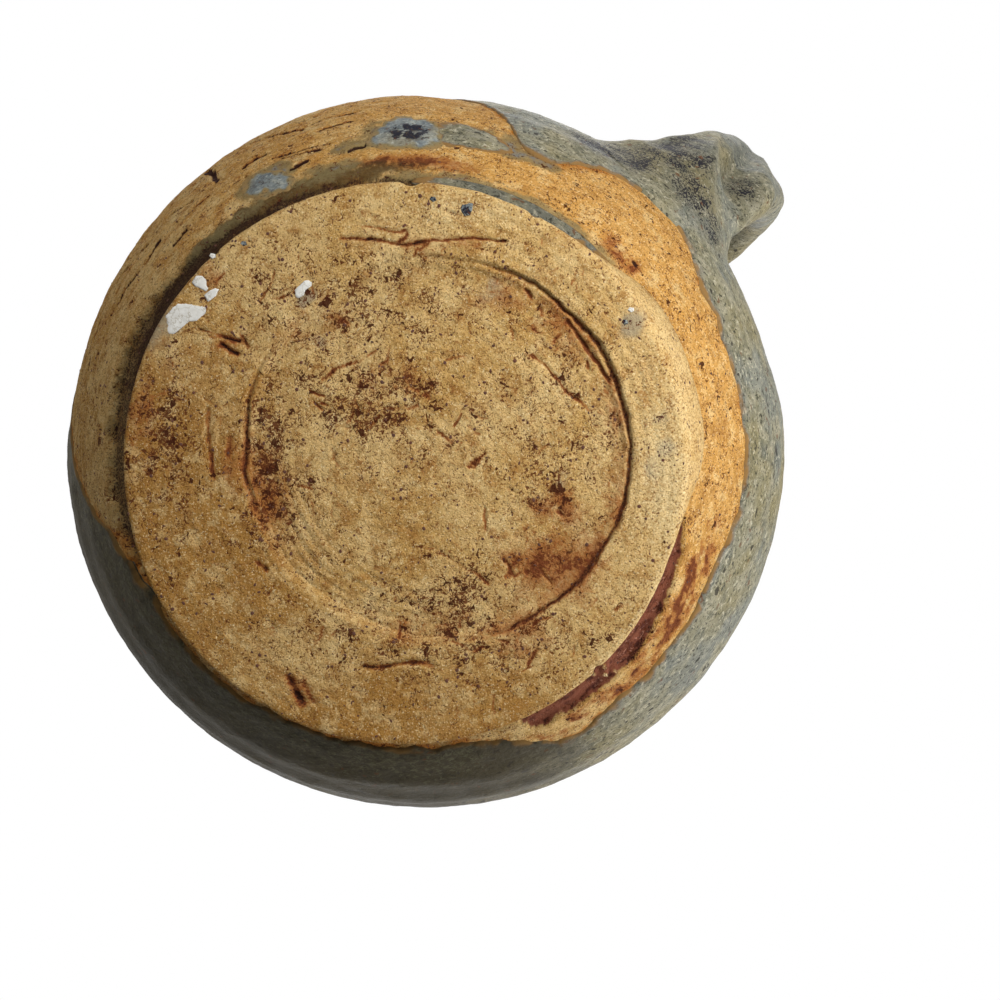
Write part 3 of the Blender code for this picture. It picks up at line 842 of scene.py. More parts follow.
# %% [markdown]
# The glaze stops along a wandering line: it runs low on the lower left of the picture, steps up beside the
# gouge, climbs under the handle and leaves one side bare to the belly. A few heights round the pot, joined
# by a smoothed curve, describe it. A little noise makes it creep as melted glaze does.

# %% The glaze line
GLAZE_STEPS = [
    (-155, 8.8), (-135, 8.3), (-120, 7.8), (-78, 7.6), (-68, 10), (-60, 15.2), (-50, 13.6), (-36, 14.2),
    (-22, 14.2), (-10, 16.8), (5, 17.4), (30, 18.6), (37, 22), (45, 26), (52, 23), (58, 22), (65, 15.4),
    (71, 17), (77, 29), (84, 41), (98, 49), (125, 52), (150, 49), (168, 38), (180, 25), (193, 12),
]
# Shifts in degrees over which the heights are averaged, and about how wide the wall is there in mm.
SMOOTHING = (-2.4, -1.2, 0, 1.2, 2.4)
LOW_WALL_RADIUS = 50


def glaze_line(turn):
    """Height in mm of the glaze's edge at angles round the pot."""
    places, heights = np.array(GLAZE_STEPS, dtype=float).T
    here = (picture_turn(turn) + 160) % 360 - 160
    smooth = sum(np.interp(here + shift, places, heights, period=360) for shift in SMOOTHING) / 5
    across_x, across_y = LOW_WALL_RADIUS * np.cos(turn), LOW_WALL_RADIUS * np.sin(turn)
    points = np.stack([across_x, across_y, np.zeros_like(turn)], -1)
    creep = 0.8 * lumps(points, 5, 8) + 0.5 * lumps(points, 1.9, 9)
    return np.maximum(smooth + creep, WALL_BOTTOM + 1.0)


line_heights = glaze_line(turns)
print("glaze line from", round(float(line_heights.min()), 1), "to", round(float(line_heights.max()), 1), "mm")

# %% [markdown]
# Low on the wall the clay is bare, and the camera is close to it. A grid of angles and heights carries
# every mark there. Its columns stand closer where the tears are, on the upper left of the picture. An even
# grid that fine would be nearly twice as large.


# %% The bare wall's grid
def wall_relief(points):
    """How far the bare wall's turning rings and small lumps stand out, in mm."""
    turning_rings = 0.05 * np.sin(2 * math.pi * (points[..., 2] + 0.4 * lumps(points, 14, 11)) / 1.9)
    return turning_rings + 0.14 * lumps(points, 4, 13) + 0.07 * lumps(points, 1.1, 14)


columns = [np.linspace(0, 233, 299), np.linspace(233, 309, 232), np.linspace(309, 360, 67)]
wall_turns = np.radians(np.concatenate([part[:-1] for part in columns]))
bare_heights = [np.linspace(WALL_BOTTOM, 12, 27), np.linspace(12.3, 40, 92), np.linspace(41, 56, 12)]
bare_heights = np.concatenate(bare_heights)
turn_grid, height_grid = np.meshgrid(wall_turns, bare_heights)
plain = on_wall(turn_grid, height_grid)
seen_turn = picture_turn(turn_grid)
seen_turn = np.where(seen_turn < -170, seen_turn + 360, seen_turn)
fray = lumps(plain, 2.4, 10) + 0.5 * lumps(plain, 0.9, 37)
print("bare wall of", len(bare_heights), "rows and", len(wall_turns), "columns")

# %% [markdown]
# The gouge on the lower right and the groove on the upper left are where the tool cut in beside the foot. A
# boolean cut would leave clean edges. So both are soft steps in the grid, whose height a noise frays.

# %% Gouge and groove
gouge_turns = (-67, -64.5, -52, -44, -36, -27, -18, -10, -5)
gouge_rises = (0, 4.6, 4.5, 4.9, 4.2, 3.6, 2.9, 1.5, 0)
gouge_rise = np.interp(seen_turn, gouge_turns, gouge_rises) * (1 + 0.09 * fray)
gouge_share = np.clip(gouge_rise / 3.5, 0, 1)
gouge = ease((WALL_BOTTOM + gouge_rise - height_grid) / 0.4 + 0.5) * (gouge_rise > 0.15)
groove_rise = 2.9 * arc(seen_turn, 138, 66) + 3.6 * arc(seen_turn, 175, 42)
groove = ease((WALL_BOTTOM + groove_rise + 0.6 * fray - height_grid) / 0.8 + 0.5) * (groove_rise > 0.2)
print("gouge up to", round(float(gouge_rise.max()), 1), "mm high, groove", round(float(groove_rise.max()), 1))

# %% [markdown]
# Where the tool dragged grit through the leather-hard clay it left tears: thin, broken strokes along the
# wall. Crumbs that it dragged over lie in the gouge. Each is a row of places and sizes, and the depth at a
# point of the grid follows from how far it is from the stroke. That is easier to change than a sculpted
# mesh.

# %% Tears and crumbs
# Tears: two ends as an angle in the picture and a height, then half width and depth in mm.
TEARS = [
    ((118, 27.5), (95, 30), 0.20, 0.55),
    ((120, 30.5), (109, 23.5), 0.34, 0.60),
    ((114.5, 17.4), (104.5, 15.8), 0.20, 0.50),
    ((113, 16.2), (106, 15.0), 0.16, 0.40),
    ((119.5, 19.6), (116, 19.9), 0.40, 0.60),
    ((127, 32), (125.2, 21), 0.50, 0.80),
    ((135.5, 23.7), (130.5, 21.3), 0.22, 0.55),
    ((133.5, 17.9), (127.4, 18.3), 0.24, 0.55),
    ((138, 14.6), (134.5, 14.8), 0.42, 0.60),
    ((123.4, 17.2), (119.8, 16.5), 0.18, 0.45),
    ((101, 13), (97.4, 13.6), 0.28, 0.50),
    ((142, 22.5), (150, 26), 0.34, 0.55),
    ((112.5, 13.5), (108.5, 13.8), 0.30, 0.45),
    ((155, 20), (146, 18.5), 0.26, 0.50),
    ((160, 30), (148, 33), 0.30, 0.50),
    ((168, 22), (157, 25), 0.30, 0.45),
    ((104, 36), (92, 38), 0.22, 0.45),
    ((140, 38), (128, 41), 0.30, 0.50),
    ((148, 28), (139, 31), 0.24, 0.55),
    ((131, 27.4), (121, 29.6), 0.22, 0.55),
    ((110, 24), (99, 25.6), 0.22, 0.55),
    ((106, 20.6), (100, 21.2), 0.26, 0.55),
    ((144, 18), (139, 19.4), 0.30, 0.55),
    ((-15, 10.8), (-23, 11.2), 0.50, 0.16),
    ((-26, 12.2), (-34, 12.8), 0.45, 0.17),
    ((-39, 12.0), (-44, 12.2), 0.40, 0.16),
    ((41.5, 10.6), (40.2, 10.3), 0.40, 0.45),
]
# Crumbs that the tool dragged over the gouge: angle in the picture, height, half width and height in mm.
CRUMBS = [(-45.4, 7.6, 0.6, 1.0), (-46.8, 8.7, 0.7, 1.1), (-48.0, 7.3, 0.55, 0.9), (-45.0, 9.4, 0.5, 0.8)]
MM_PER_DEGREE = math.radians(1) * LOW_WALL_RADIUS
along_wall = seen_turn * MM_PER_DEGREE + 0.8 * lumps(plain, 4, 38)
up_wall = height_grid + 0.7 * lumps(plain, 4, 39) + 0.25 * lumps(plain, 1.3, 40)
tears = np.zeros(plain.shape[:2])
for (turn_a, up_a), (turn_b, up_b), width, depth in TEARS:
    tear_start, tear_end = (turn_a * MM_PER_DEGREE, up_a), (turn_b * MM_PER_DEGREE, up_b)
    from_tear = near_line(along_wall, up_wall, tear_start, tear_end)
    tears = np.maximum(tears, depth * bell(from_tear, width, 4))
tears = tears * np.clip(0.85 + 0.8 * lumps(plain, 1.8, 12), 0, 1.15)
crumbs = np.zeros(plain.shape[:2])
for turn_mid, up_mid, half, tall in CRUMBS:
    away = np.hypot(along_wall - turn_mid * MM_PER_DEGREE, up_wall - up_mid)
    crumbs = np.maximum(crumbs, tall * bell(away, half))
carved = (0.5 + 1.0 * arc(seen_turn, 190, 50)) * groove + 0.9 * gouge
offset = wall_relief(plain) + crumbs - tears - carved
bare = on_wall(turn_grid, height_grid, offset)
print("deepest tear", round(float(tears.max()), 2), "mm on", bare.shape[0], "rings")

# %% [markdown]
# The fire coloured the bare wall as it did the foot: rust in the tears, a scorched line under the glaze and
# grey fumes round the splashes. By the groove there is soot with painted shadow of the foot, the groove and
# the gouge's edges get painted shade, and the left of the picture painted shade with some smoke. They could
# be painted by hand. Here they are worked out from the cuts and from arcs round the pot, so that a stain or a
# painted shade stays in its hollow when the hollow moves.

# %% Patches of colour on the wall
# Stains round the splashes: angle in the picture, height, half arc in degrees, half height in mm, strength.
STAINS = [
    (91, 16, 10, 5, 0.75), (99, 14, 6, 2.0, 0.75), (117, 12.8, 6.5, 3.6, 0.95), (106, 10.2, 10, 2.2, 0.6),
    (78, 17.0, 10, 3.4, 0.80), (70, 15.6, 8, 2.0, 0.75), (66, 7.6, 26, 1.4, 0.70), (88, 7.4, 10, 1.5, 0.6),
    (130, 9.5, 16, 1.5, 0.55),
]
below_line = np.clip(glaze_line(wall_turns)[None, :] - height_grid, 0, 60)
fumes = np.zeros(plain.shape[:2])
for turn_mid, up_mid, half_arc, half_up, strength in STAINS:
    near = arc(seen_turn, turn_mid, half_arc) * bell(height_grid - up_mid, half_up)
    fumes = np.maximum(fumes, strength * near)
rust_arcs = 0.9 * gouge_share * bell(height_grid - 12, 2.6) * np.clip(0.75 + 1.0 * fray, 0, 1.2)
rust_arcs += 1.0 * arc(seen_turn, 44, 6) * bell(height_grid - 9.5, 2.2) * np.clip(0.8 + fray, 0, 1)
rust_arcs += 0.4 * arc(seen_turn, -20, 14) * bell(height_grid - 11, 2.5) * np.clip(0.6 + 1.2 * fray, 0, 1.2)
rust_arcs += 0.8 * arc(seen_turn, 88, 14) * bell(height_grid - 10.0, 1.6)
rust_arcs += 0.5 * arc(seen_turn, 135, 55) * np.clip(0.5 + 1.2 * fray, 0, 1)
dark_rim = 0.5 * arc(seen_turn, 72, 30) * bell(height_grid - 9.0 - 0.5 * fray, 0.35)
# Painted shadow along the gouge: dark at its lower edge by the foot and in a line under its step.
gouge_shadow_lines = 0.9 * gouge * np.exp(-np.clip(height_grid - WALL_BOTTOM - 1.6 * gouge_share, 0, 9) / 0.6)
from_step = height_grid - WALL_BOTTOM - gouge_rise + 0.3 - 0.4 * fray
gouge_shadow_lines += 0.7 * gouge_share * bell(from_step, 0.3) * np.clip(0.5 + fray, 0, 1)
scorch = np.exp(-below_line / 2.6) * np.clip(0.75 + 0.8 * fray, 0, 1)
bare_paint = {
    "rust": rust_arcs + 1.0 * np.clip(tears / 0.3, 0, 1),
    # Painted shadow of the foot by the groove, partly soot.
    "soot_and_shadow": 1.2 * arc(seen_turn, 128, 44) * bell(height_grid - 8.8 - 0.9 * fray, 1.8),
    "toast": 0.85 * arc(seen_turn, 10, 75) + 0.6 * arc(seen_turn, 110, 50) + 0.25 * fray,
    "scorch": scorch * (0.95 - 0.4 * arc(seen_turn, 0, 50)),
    # The groove is darkened with painted shade; the tears and a thin line by the handle are darkened too.
    "stain_and_shade": 0.65 * groove + 1.5 * np.clip((tears - 0.12) / 0.16, 0, 0.8) + dark_rim + gouge_shadow_lines,
    "maroon": gouge * np.clip(0.95 - 0.9 * crumbs + 0.35 * fray, 0, 1.1),
    "splash": fumes * (1 + 0.45 * fray),
    "grit": 0.25 - 0.02 * arc(seen_turn, 125, 50) + 0.08 * fray,
    # Painted shade, partly smoke, on the left of the picture, strongest on the lower left.
    "smoke_and_shade": 0.45 * arc(seen_turn, 145, 50) + 0.9 * arc(seen_turn, -120, 50),
    # The crumbs in the gouge are paler.
    "worn_and_lit": 0.9 * np.clip(crumbs, 0, 1),
}
print("marks on the bare wall:", sorted(bare_paint))

# %% [markdown]
# The wall is one piece of clay from the foot up to the rim and down again inside. The rings of the bare
# part go on over the lip to the inner floor. Behind the glaze nothing is seen of it, so it has few rows
# there, and it lies a little deeper, so that it never cuts through the coats.

# %% The whole wall
BEHIND_COAT, BEHIND_LINER = 0.6, 1.2
FLOOR_SUNK = 2.8
upper = np.array([on_wall(wall_turns, z, -BEHIND_COAT) for z in np.linspace(60, LIP_START, 11)])
crest = np.array([lip(wall_turns, roll) for roll in np.linspace(0, math.pi, 6)[1:]])
inside_heights = np.linspace(LIP_START - 6, FLOOR_TOP + 1, 13)
inside = np.array([on_wall(wall_turns, z, -BEHIND_LINER, inside=True) for z in inside_heights])
floor_edge = np.array([inside[-1] * [s, s, 1] - [0, 0, d] for s, d in ((0.93, 2.4), (0.5, FLOOR_SUNK))])
bottom = bare[0] * [0.9, 0.9, 1]
wall_rings = np.concatenate([[bottom], bare, upper, crest, inside, floor_edge])
wall_paint = {mark: np.concatenate([values[:1], values]) for mark, values in bare_paint.items()}
wall_floor = (0, 0, FLOOR_TOP - FLOOR_SUNK)
clay_wall = skin("clay_wall", wall_rings, clay, (0, 0, WALL_BOTTOM), wall_floor, marks=wall_paint)
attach(clay_wall, "root")
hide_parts("thrown_body")

# %% [markdown]
# ## The glaze coats
# The outer coat is a skin more than half a millimetre thick, whose soft edge stands proud of the clay. It
# could be the wall's mesh with another colour, but then nothing would stand out, and the edge is what makes
# glaze look like glaze. So it is a shell of its own: an outer face with slow throwing rings, and a plain
# back sunk in the wall.

# %% Outer coat
COAT = 0.65
COAT_BACK = -0.5
EDGE_ROUNDING = 0.6
COAT_COLUMNS = 600
coat_turns = np.linspace(0, 2 * math.pi, COAT_COLUMNS, endpoint=False)
rise = np.concatenate([np.linspace(0, 0.07, 26), np.linspace(0.075, 1, 92)])[:, None]
coat_line = glaze_line(coat_turns)[None, :]
coat_heights = coat_line + (LIP_START - coat_line) * rise
from_edge = coat_heights - coat_line
flat_points = on_wall(coat_turns[None, :], coat_heights)
uneven = 0.12 * lumps(flat_points, 3.5, 16) + 0.06 * lumps(flat_points, 1.2, 17)
throwing = 0.14 * np.sin(2 * math.pi * coat_heights / 7.5 + 1.5 * lumps(flat_points, 40, 15))
edge = np.sqrt(np.clip(1 - (1 - np.clip(from_edge / EDGE_ROUNDING, 0, 1)) ** 2, 0, 1))
coat_offset = -0.15 + 0.50 * edge + (COAT - 0.35) * ease(from_edge / 9)
coat_offset = coat_offset + throwing * ease(from_edge / 8) + uneven * edge
face = on_wall(coat_turns[None, :], coat_heights, coat_offset)
over_lip = np.array([lip(coat_turns, roll, COAT - 0.05) for roll in np.linspace(0, math.pi / 2, 7)[1:]])
back_heights = coat_line + (LIP_START - coat_line) * np.linspace(1, 0, 22)[:, None]
back = on_wall(coat_turns[None, :], back_heights, COAT_BACK)
back_lip = lip(coat_turns, math.pi / 2, COAT_BACK)[None]
coat_rings = np.concatenate([face, over_lip, back_lip, back])
print("coat", coat_rings.shape[0], "rings, thickest", round(float(coat_offset.max()), 2), "mm")

# %% [markdown]
# Glaze turns brown where it runs thin at its edge, and crystals gather where it pooled by the handle, with a
# weak painted shade round them. The lower left of the picture is darkened with painted shade, partly smoke.
# These could be three materials, but on the pot they fade into each other. So they are marks on one coat,
# which its finish reads.

# %% Crystals, thin edge and smoke in the coat
# Where cobalt crystals gathered about the handle's low root: place in mm from the pot's axis, and half size.
POOLS = [
    ((57, -17, 32), 8), ((64, -12, 38), 9), ((61, -6, 33), 7), ((71, -2, 50), 5), ((53, -21, 30), 7),
    ((60, 1, 32), 5), ((68, -13, 44), 6),
]


def pooled(points):
    """How strongly crystals show at points in mm."""
    total = np.zeros(points.shape[:-1])
    for place, half in POOLS:
        from_pool = np.linalg.norm(points - np.array(place), axis=-1)
        total = np.maximum(total, bell(from_pool, half, 4))
    return total * (0.60 + 0.16 * lumps(points, 3, 21))


coat_seen = picture_turn(np.broadcast_to(coat_turns, face.shape[:2]))
# The smoke mark is painted shade, partly smoke: the glaze darkens on the lower left of the picture, most near
# its edge.
coat_paint = {
    "thin": np.exp(-from_edge / 1.6) * (1.0 + 0.6 * lumps(flat_points, 2.0, 45)),
    "crystals_and_shade": pooled(face),
    "smoke_and_shade": 1.1 * np.clip(1.6 * arc(coat_seen, -145, 80), 0, 1) * np.exp(-from_edge / 45),
}
outer_coat = skin("outer_glaze_coat", coat_rings, glaze, hollow=True, marks=coat_paint)
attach(outer_coat, "root")
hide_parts("outer_glaze")

# %% [markdown]
# The liner is the same glaze, poured in, swirled and poured out. It is a shell too, from the crest of the
# lip to a shallow bowl on the inner floor, with a back sunk in the clay. A second colour on the wall's
# inside would be simpler, but then the lip would have no thickness of glaze.

# %% Liner
LINER_COLUMNS = 240
LINER_BACK = -0.6
liner_turns = np.linspace(0, 2 * math.pi, LINER_COLUMNS, endpoint=False)
liner_heights = np.linspace(LIP_START - 3, FLOOR_TOP + 1.6, 60)
liner_rolls = np.linspace(math.pi / 2 - 0.05, math.pi, 8)
liner_lip = np.array([lip(liner_turns, roll, COAT - 0.1) for roll in liner_rolls])
liner_plain = np.array([on_wall(liner_turns, z, inside=True) for z in liner_heights])
liner_waves = 0.16 * np.sin(2 * math.pi * liner_heights / 9)[:, None]
liner_swell = COAT + 0.12 * lumps(liner_plain, 6, 18) + liner_waves
liner_face = on_wall(liner_turns[None, :], liner_heights[:, None], liner_swell, inside=True)
corner = liner_face[-1]
bowl_steps = ((0.96, 0.8), (0.88, 1.3), (0.6, 1.45), (0.25, 1.5))
bowl = np.array([corner * [s, s, 1] - [0, 0, d] for s, d in bowl_steps])
hidden_bowl = np.array([corner * [s, s, 1] - [0, 0, 2.4] for s in (0.3, 0.9)])
hidden = on_wall(liner_turns[None, :], liner_heights[::-6, None], LINER_BACK, inside=True)
hidden_lip = lip(liner_turns, math.pi / 2, LINER_BACK)[None]
liner_rings = np.concatenate([hidden_bowl, hidden, hidden_lip, liner_lip, liner_face, bowl])
liner_under = (0, 0, float(hidden_bowl[0, :, 2].mean()))
liner_middle = (0, 0, float(bowl[-1, :, 2].mean()))
liner_coat = skin("liner_glaze_coat", liner_rings, glaze, liner_under, liner_middle)
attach(liner_coat, "root")
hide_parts("liner_glaze")

# %% [markdown]
# ## The pulled handle
# The strap was pulled from a lump of wet clay, bent over and thumbed on to the wall at both ends. A curve
# with a bevel would sweep one section along it, but here the section changes all the way. So the curve
# gives only the strap's middle line: two bends that meet where it stands out most.

# %% The strap's middle line
STRAP_WIDTH = 16.8
STRAP_THICKNESS = 9.5
STRAP_ROOT_WIDTH = 18.0
FINGER_GAP = 24.0
HANDLE_LOW, HANDLE_WIDEST, HANDLE_HIGH = 42.0, 90.0, 121.0
LOW_SPRING, HIGH_SPRING = 9.0, 15.0
EMBED = 6.0
HANDLE_LEAN = math.radians(7)
STRAP_OUT = float(wall_radius(HANDLE_WIDEST)) + FINGER_GAP + STRAP_THICKNESS / 2


def bezier(points, t):
    """A place on a curve with two ends and two handles, from 0 at its start to 1 at its end."""
    a, b, c, d = (np.array(point) for point in points)
    return a * (1 - t) ** 3 + 3 * b * t * (1 - t) ** 2 + 3 * c * t * t * (1 - t) + d * t**3


def strap_middle(t):
    """Radius and height of the strap's middle line, from 0 at its low root to 1 at its high root."""
    low, high = float(wall_radius(HANDLE_LOW)), float(wall_radius(HANDLE_HIGH))
    widest = (STRAP_OUT, HANDLE_WIDEST)
    rise_to = (STRAP_OUT, HANDLE_WIDEST - (HANDLE_WIDEST - HANDLE_LOW) * 0.5)
    fall_from = (STRAP_OUT, HANDLE_WIDEST + (HANDLE_HIGH - HANDLE_WIDEST) * 0.75)
    if t < 0.5:
        return bezier(((low - EMBED, HANDLE_LOW), (low + LOW_SPRING, HANDLE_LOW), rise_to, widest), 2 * t)
    high_root = (high - EMBED, HANDLE_HIGH)
    return bezier((widest, fall_from, (high + HIGH_SPRING, HANDLE_HIGH), high_root), 2 * t - 1)


print("strap stands out to", round(STRAP_OUT, 1), "mm from the pot's axis")

# %% [markdown]
# A strap that only pokes into the wall looks glued on, and the potter smeared the joint out. A bevel would
# need one mesh for wall and strap. So each point of a section is pushed outwards by the rule of a round
# fillet, wide above and below and narrow at the sides, until it runs out on the wall.

# %% Fillet at the wall
SECTION = 96
LOW_FILLET = (11.0, 3.5)
HIGH_FILLET = (7.0, 5.0)


def fillet_push(radius, height, wide, lift, sideways, outwards, fillet, lean):
    """How far each point of a section moves out, so that it meets the wall in a round fillet. The fillet's
    reach depends on the wall's distance from the moved point, so it is found by halving."""
    low, high = np.zeros(SECTION), fillet.copy()
    for _ in range(24):
        push = (low + high) / 2
        moved_height = np.clip(height + push * lift * outwards[1], WALL_BOTTOM, LIP_START)
        moved_radius, moved_wide = radius + push * lift * outwards[0], wide + push * sideways
        moved_turn = np.arctan2(moved_wide, moved_radius) + lean
        wall = wall_radius(moved_height) - pressed(moved_turn, moved_height) + COAT
        near = np.clip(1 - (np.hypot(moved_radius, moved_wide) - wall) / fillet, 0, 1)
        more = fillet * (1 - np.sqrt(1 - near**2)) > push
        low, high = np.where(more, push, low), np.where(more, high, push)
    return (low + high) / 2


print("fillets at the low and the high root:", LOW_FILLET, HIGH_FILLET, "mm")

# %% [markdown]
# The sweep sets section after section along the middle line. At the low root a wad of clay is smeared over
# the joint. It ends in a slanting step on the strap's face, with a hollow and a low ridge past it. It could
# be a piece of its own, but it is smeared into the strap, so it is added to the strap's thickness.

# %% Sweep of the strap
STEPS = 230
# The low root flares on its two sides, more on the side where the thumb pressed it.
FLARE_NEAR, FLARE_FAR, FLARE_LENGTH = 4.6, 1.5, 6.0
WAD_RING, WAD_SLANT, WAD_THICKNESS = 54, 30, 2.8
HOLLOW_DEPTH, RIDGE_HEIGHT = 2.7, 0.9
ROOT_COVER = 1.3
spin = np.linspace(0, 2 * math.pi, SECTION, endpoint=False)
strap_rings = []
strap_clear = []
for ring, t in enumerate((1 - np.cos(np.linspace(0, math.pi, STEPS))) / 2):
    middle = strap_middle(t)
    along = strap_middle(min(t + 1e-4, 1.0)) - strap_middle(max(t - 1e-4, 0.0))
    outwards = np.array([along[1], -along[0]]) / np.linalg.norm(along)
    root = abs(2 * t - 1) ** 3
    half_width = STRAP_WIDTH / 2 + (STRAP_ROOT_WIDTH - STRAP_WIDTH) / 2 * root
    squareness = 0.66 + 0.2 * ease((t - 0.25) / 0.4)
    lift = np.sign(np.cos(spin)) * np.abs(np.cos(spin)) ** squareness
    sideways = np.sign(np.sin(spin)) * np.abs(np.sin(spin)) ** squareness
    # A shallow trough runs down the strap's back, where a thumb drew it.
    trough = 0.6 * bell(sideways * half_width, 4.0) * (np.cos(spin) > 0) * (1 - root)
    past_wad = ring - WAD_RING + WAD_SLANT * sideways + 2.5 * np.sin(3 * spin + 1)
    wad = WAD_THICKNESS * ease(0.5 - past_wad / 9)
    hollow = HOLLOW_DEPTH * bell(past_wad - 19, 12) - RIDGE_HEIGHT * bell(past_wad - 43, 8)
    wad = wad - hollow * ease((sideways + 0.4) / 0.5)
    wad = wad * np.clip(lift * 1.5, 0, 1) * ease((sideways + 0.8) / 0.7)
    thick = lift * STRAP_THICKNESS / 2 - trough + wad
    clear = max(0.0, middle[0] - float(wall_radius(middle[1])))
    flare = np.where(sideways < 0, FLARE_NEAR, FLARE_FAR) * math.exp(-clear / FLARE_LENGTH) * (t < 0.5)
    wide = sideways * (half_width + flare)
    radius = middle[0] + thick * outwards[0]
    height = middle[1] + thick * outwards[1]
    length = np.hypot(lift, sideways)
    lift, sideways = lift / length, sideways / length
    fillet_up, fillet_side = LOW_FILLET if t < 0.5 else HIGH_FILLET
    fillet = fillet_up * lift**2 + fillet_side * sideways**2
    turn = -HANDLE_LEAN * (1 - t) ** 2
    push = fillet_push(radius, height, wide, lift, sideways, outwards, fillet, turn)
    radius = radius + push * lift * outwards[0]
    height = height + push * lift * outwards[1]
    wide = wide + push * sideways
    strap_clear.append(np.hypot(radius, wide) - wall_radius(np.clip(height, WALL_BOTTOM, LIP_START)) - COAT)
    x = radius * math.cos(turn) - wide * math.sin(turn)
    y = radius * math.sin(turn) + wide * math.cos(turn)
    strap_rings.append(np.stack([x, y, height], -1))
    # The high root ends once a whole ring lies in the clay, so that it doesn't come out inside the neck.
    if t > 0.5 and strap_clear[-1].max() < -ROOT_COVER:
        break
strap_rings = np.array(strap_rings)
print("strap of", len(strap_rings), "rings")

# %% [markdown]
# Hands leave no face even. Slow noise swells the strap away from its roots, and a dent with a raised edge
# shows where a thumb pressed it. Both move the points of the sweep along their sections, which keeps the
# mesh as fine as it is. A sculpting brush would do as well, but it can't be run again after the strap has
# changed.

# %% Handle
THUMB_DENT = ((71, -1, 49), 4.5, 1.0)
by_hand = 0.40 * lumps(strap_rings, 9, 19) + 0.14 * lumps(strap_rings, 3, 20)
by_hand = by_hand * np.clip(np.array(strap_clear) / 4, 0, 1)
dent_place, dent_half, dent_depth = THUMB_DENT
from_dent = np.linalg.norm(strap_rings - np.array(dent_place), axis=-1) / dent_half
by_hand = by_hand - dent_depth * bell(from_dent, 1) + 0.4 * dent_depth * bell(from_dent - 1.7, 0.4)
middles = strap_rings.mean(1, keepdims=True)
outward = strap_rings - middles
strap_rings = strap_rings + by_hand[..., None] * outward / np.linalg.norm(outward, axis=-1, keepdims=True)
strap_paint = {"crystals_and_shade": pooled(strap_rings)}
handle = skin("pulled_handle", strap_rings, glaze, middles[0, 0], middles[-1, 0], marks=strap_paint)
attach(handle, "root")
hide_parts("handle_strap", "lower_luting_coil", "upper_luting_coil")

# %% [markdown]
# ## Splashes and runs of glaze
# Drops of glaze landed on the bare wall and melted to flat domes with ragged edges. One run filled the
# groove beside the foot. Each is a small dome of rings about its own middle. Its outline is given by
# corners, which are rounded and then made ragged by noise. It follows the wall's own relief, so that its
# thin edge meets the clay all round.


# %% One splash
SPLASH_POINTS = 144
SPLASH_BACK = -0.9


def splash(name, outline, thick, seed, finish, crystal_share=0.0, smoke_and_shade=0.0, fade=0.6):
    """A dome of glaze on the wall. Its outline has corners with an angle of the picture and a height in mm.
    From the fade's share of its half width outwards it thins to brown."""
    corners = np.array(outline, dtype=float)
    count = len(corners)
    steps = np.linspace(0, count, SPLASH_POINTS, endpoint=False)
    rounding = (-0.45, -0.3, -0.15, 0, 0.15, 0.3, 0.45)
    rim_turn, rim_up = (
        np.mean([np.interp(steps + r, range(count), values, period=count) for r in rounding], 0)
        for values in corners.T
    )
    middle_turn, middle_up = rim_turn.mean(), rim_up.mean()
    crumbled = np.stack([rim_turn, rim_up, np.full(SPLASH_POINTS, 7.0 * seed)], -1)
    ragged = 1 + 0.10 * lumps(crumbled, 1.6, 22) + 0.06 * lumps(crumbled, 0.6, 23)
    shares = np.linspace(0.05, 1, 24)[:, None]
    z = np.maximum(middle_up + shares * ragged * (rim_up - middle_up), WALL_BOTTOM + 0.4)
    turn = HANDLE_TURN - np.radians(middle_turn + shares * ragged * (rim_turn - middle_turn))
    ground = on_wall(turn, z)
    dome = thick * (1 - shares**2) * (1 + 0.5 * lumps(ground, 1.5, 24))
    swell = wall_relief(ground) + dome - 0.03 * shares**4 + 0.02
    rings = np.concatenate([on_wall(turn, z, swell), on_wall(turn[::-3], z[::-3], SPLASH_BACK)])
    crystals_and_shade = crystal_share * bell(shares, 0.70, 3) * (1 + 0.5 * lumps(ground, 1.2, 46))
    thin = ease((shares - fade) / (0.98 - fade) + 2 * (1 - shares) * lumps(ground, 1.5, 42))
    paint = {"crystals_and_shade": crystals_and_shade, "thin": thin, "smoke_and_shade": np.full(thin.shape, smoke_and_shade)}
    piece = skin(name, rings, finish, rings[0].mean(0), rings[-1].mean(0), marks=paint)
    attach(piece, "root")
    return piece


# %% [markdown]
# Two blue splashes lie on the bare wall, with a streak of ash glaze beside the large one and a run in the
# groove. Each outline has a few corners, placed as angles and heights. Tracing every bend isn't worth it,
# because the noise gives an edge of the same kind.

# %% Splashes
LARGE = [
    (98.3, 14.2), (96.8, 16.7), (94.6, 19.3), (92.6, 21.1), (89.7, 20.9), (87, 20), (85, 18.6), (83.6, 16.3),
    (83.2, 13), (86, 12.3), (89.6, 11.9), (93.3, 12.1), (96.6, 12.4),
]
large = splash("large_glaze_splash", LARGE, 0.30, 1, cobalt, crystal_share=0.72)
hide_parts("glaze_splash_large")
SMALL = [
    (122.6, 13.8), (120.8, 16), (118, 15.8), (115, 14.5), (112.4, 12.3), (111, 10.2), (113.6, 9.1),
    (117.5, 9.4), (121, 10.8),
]
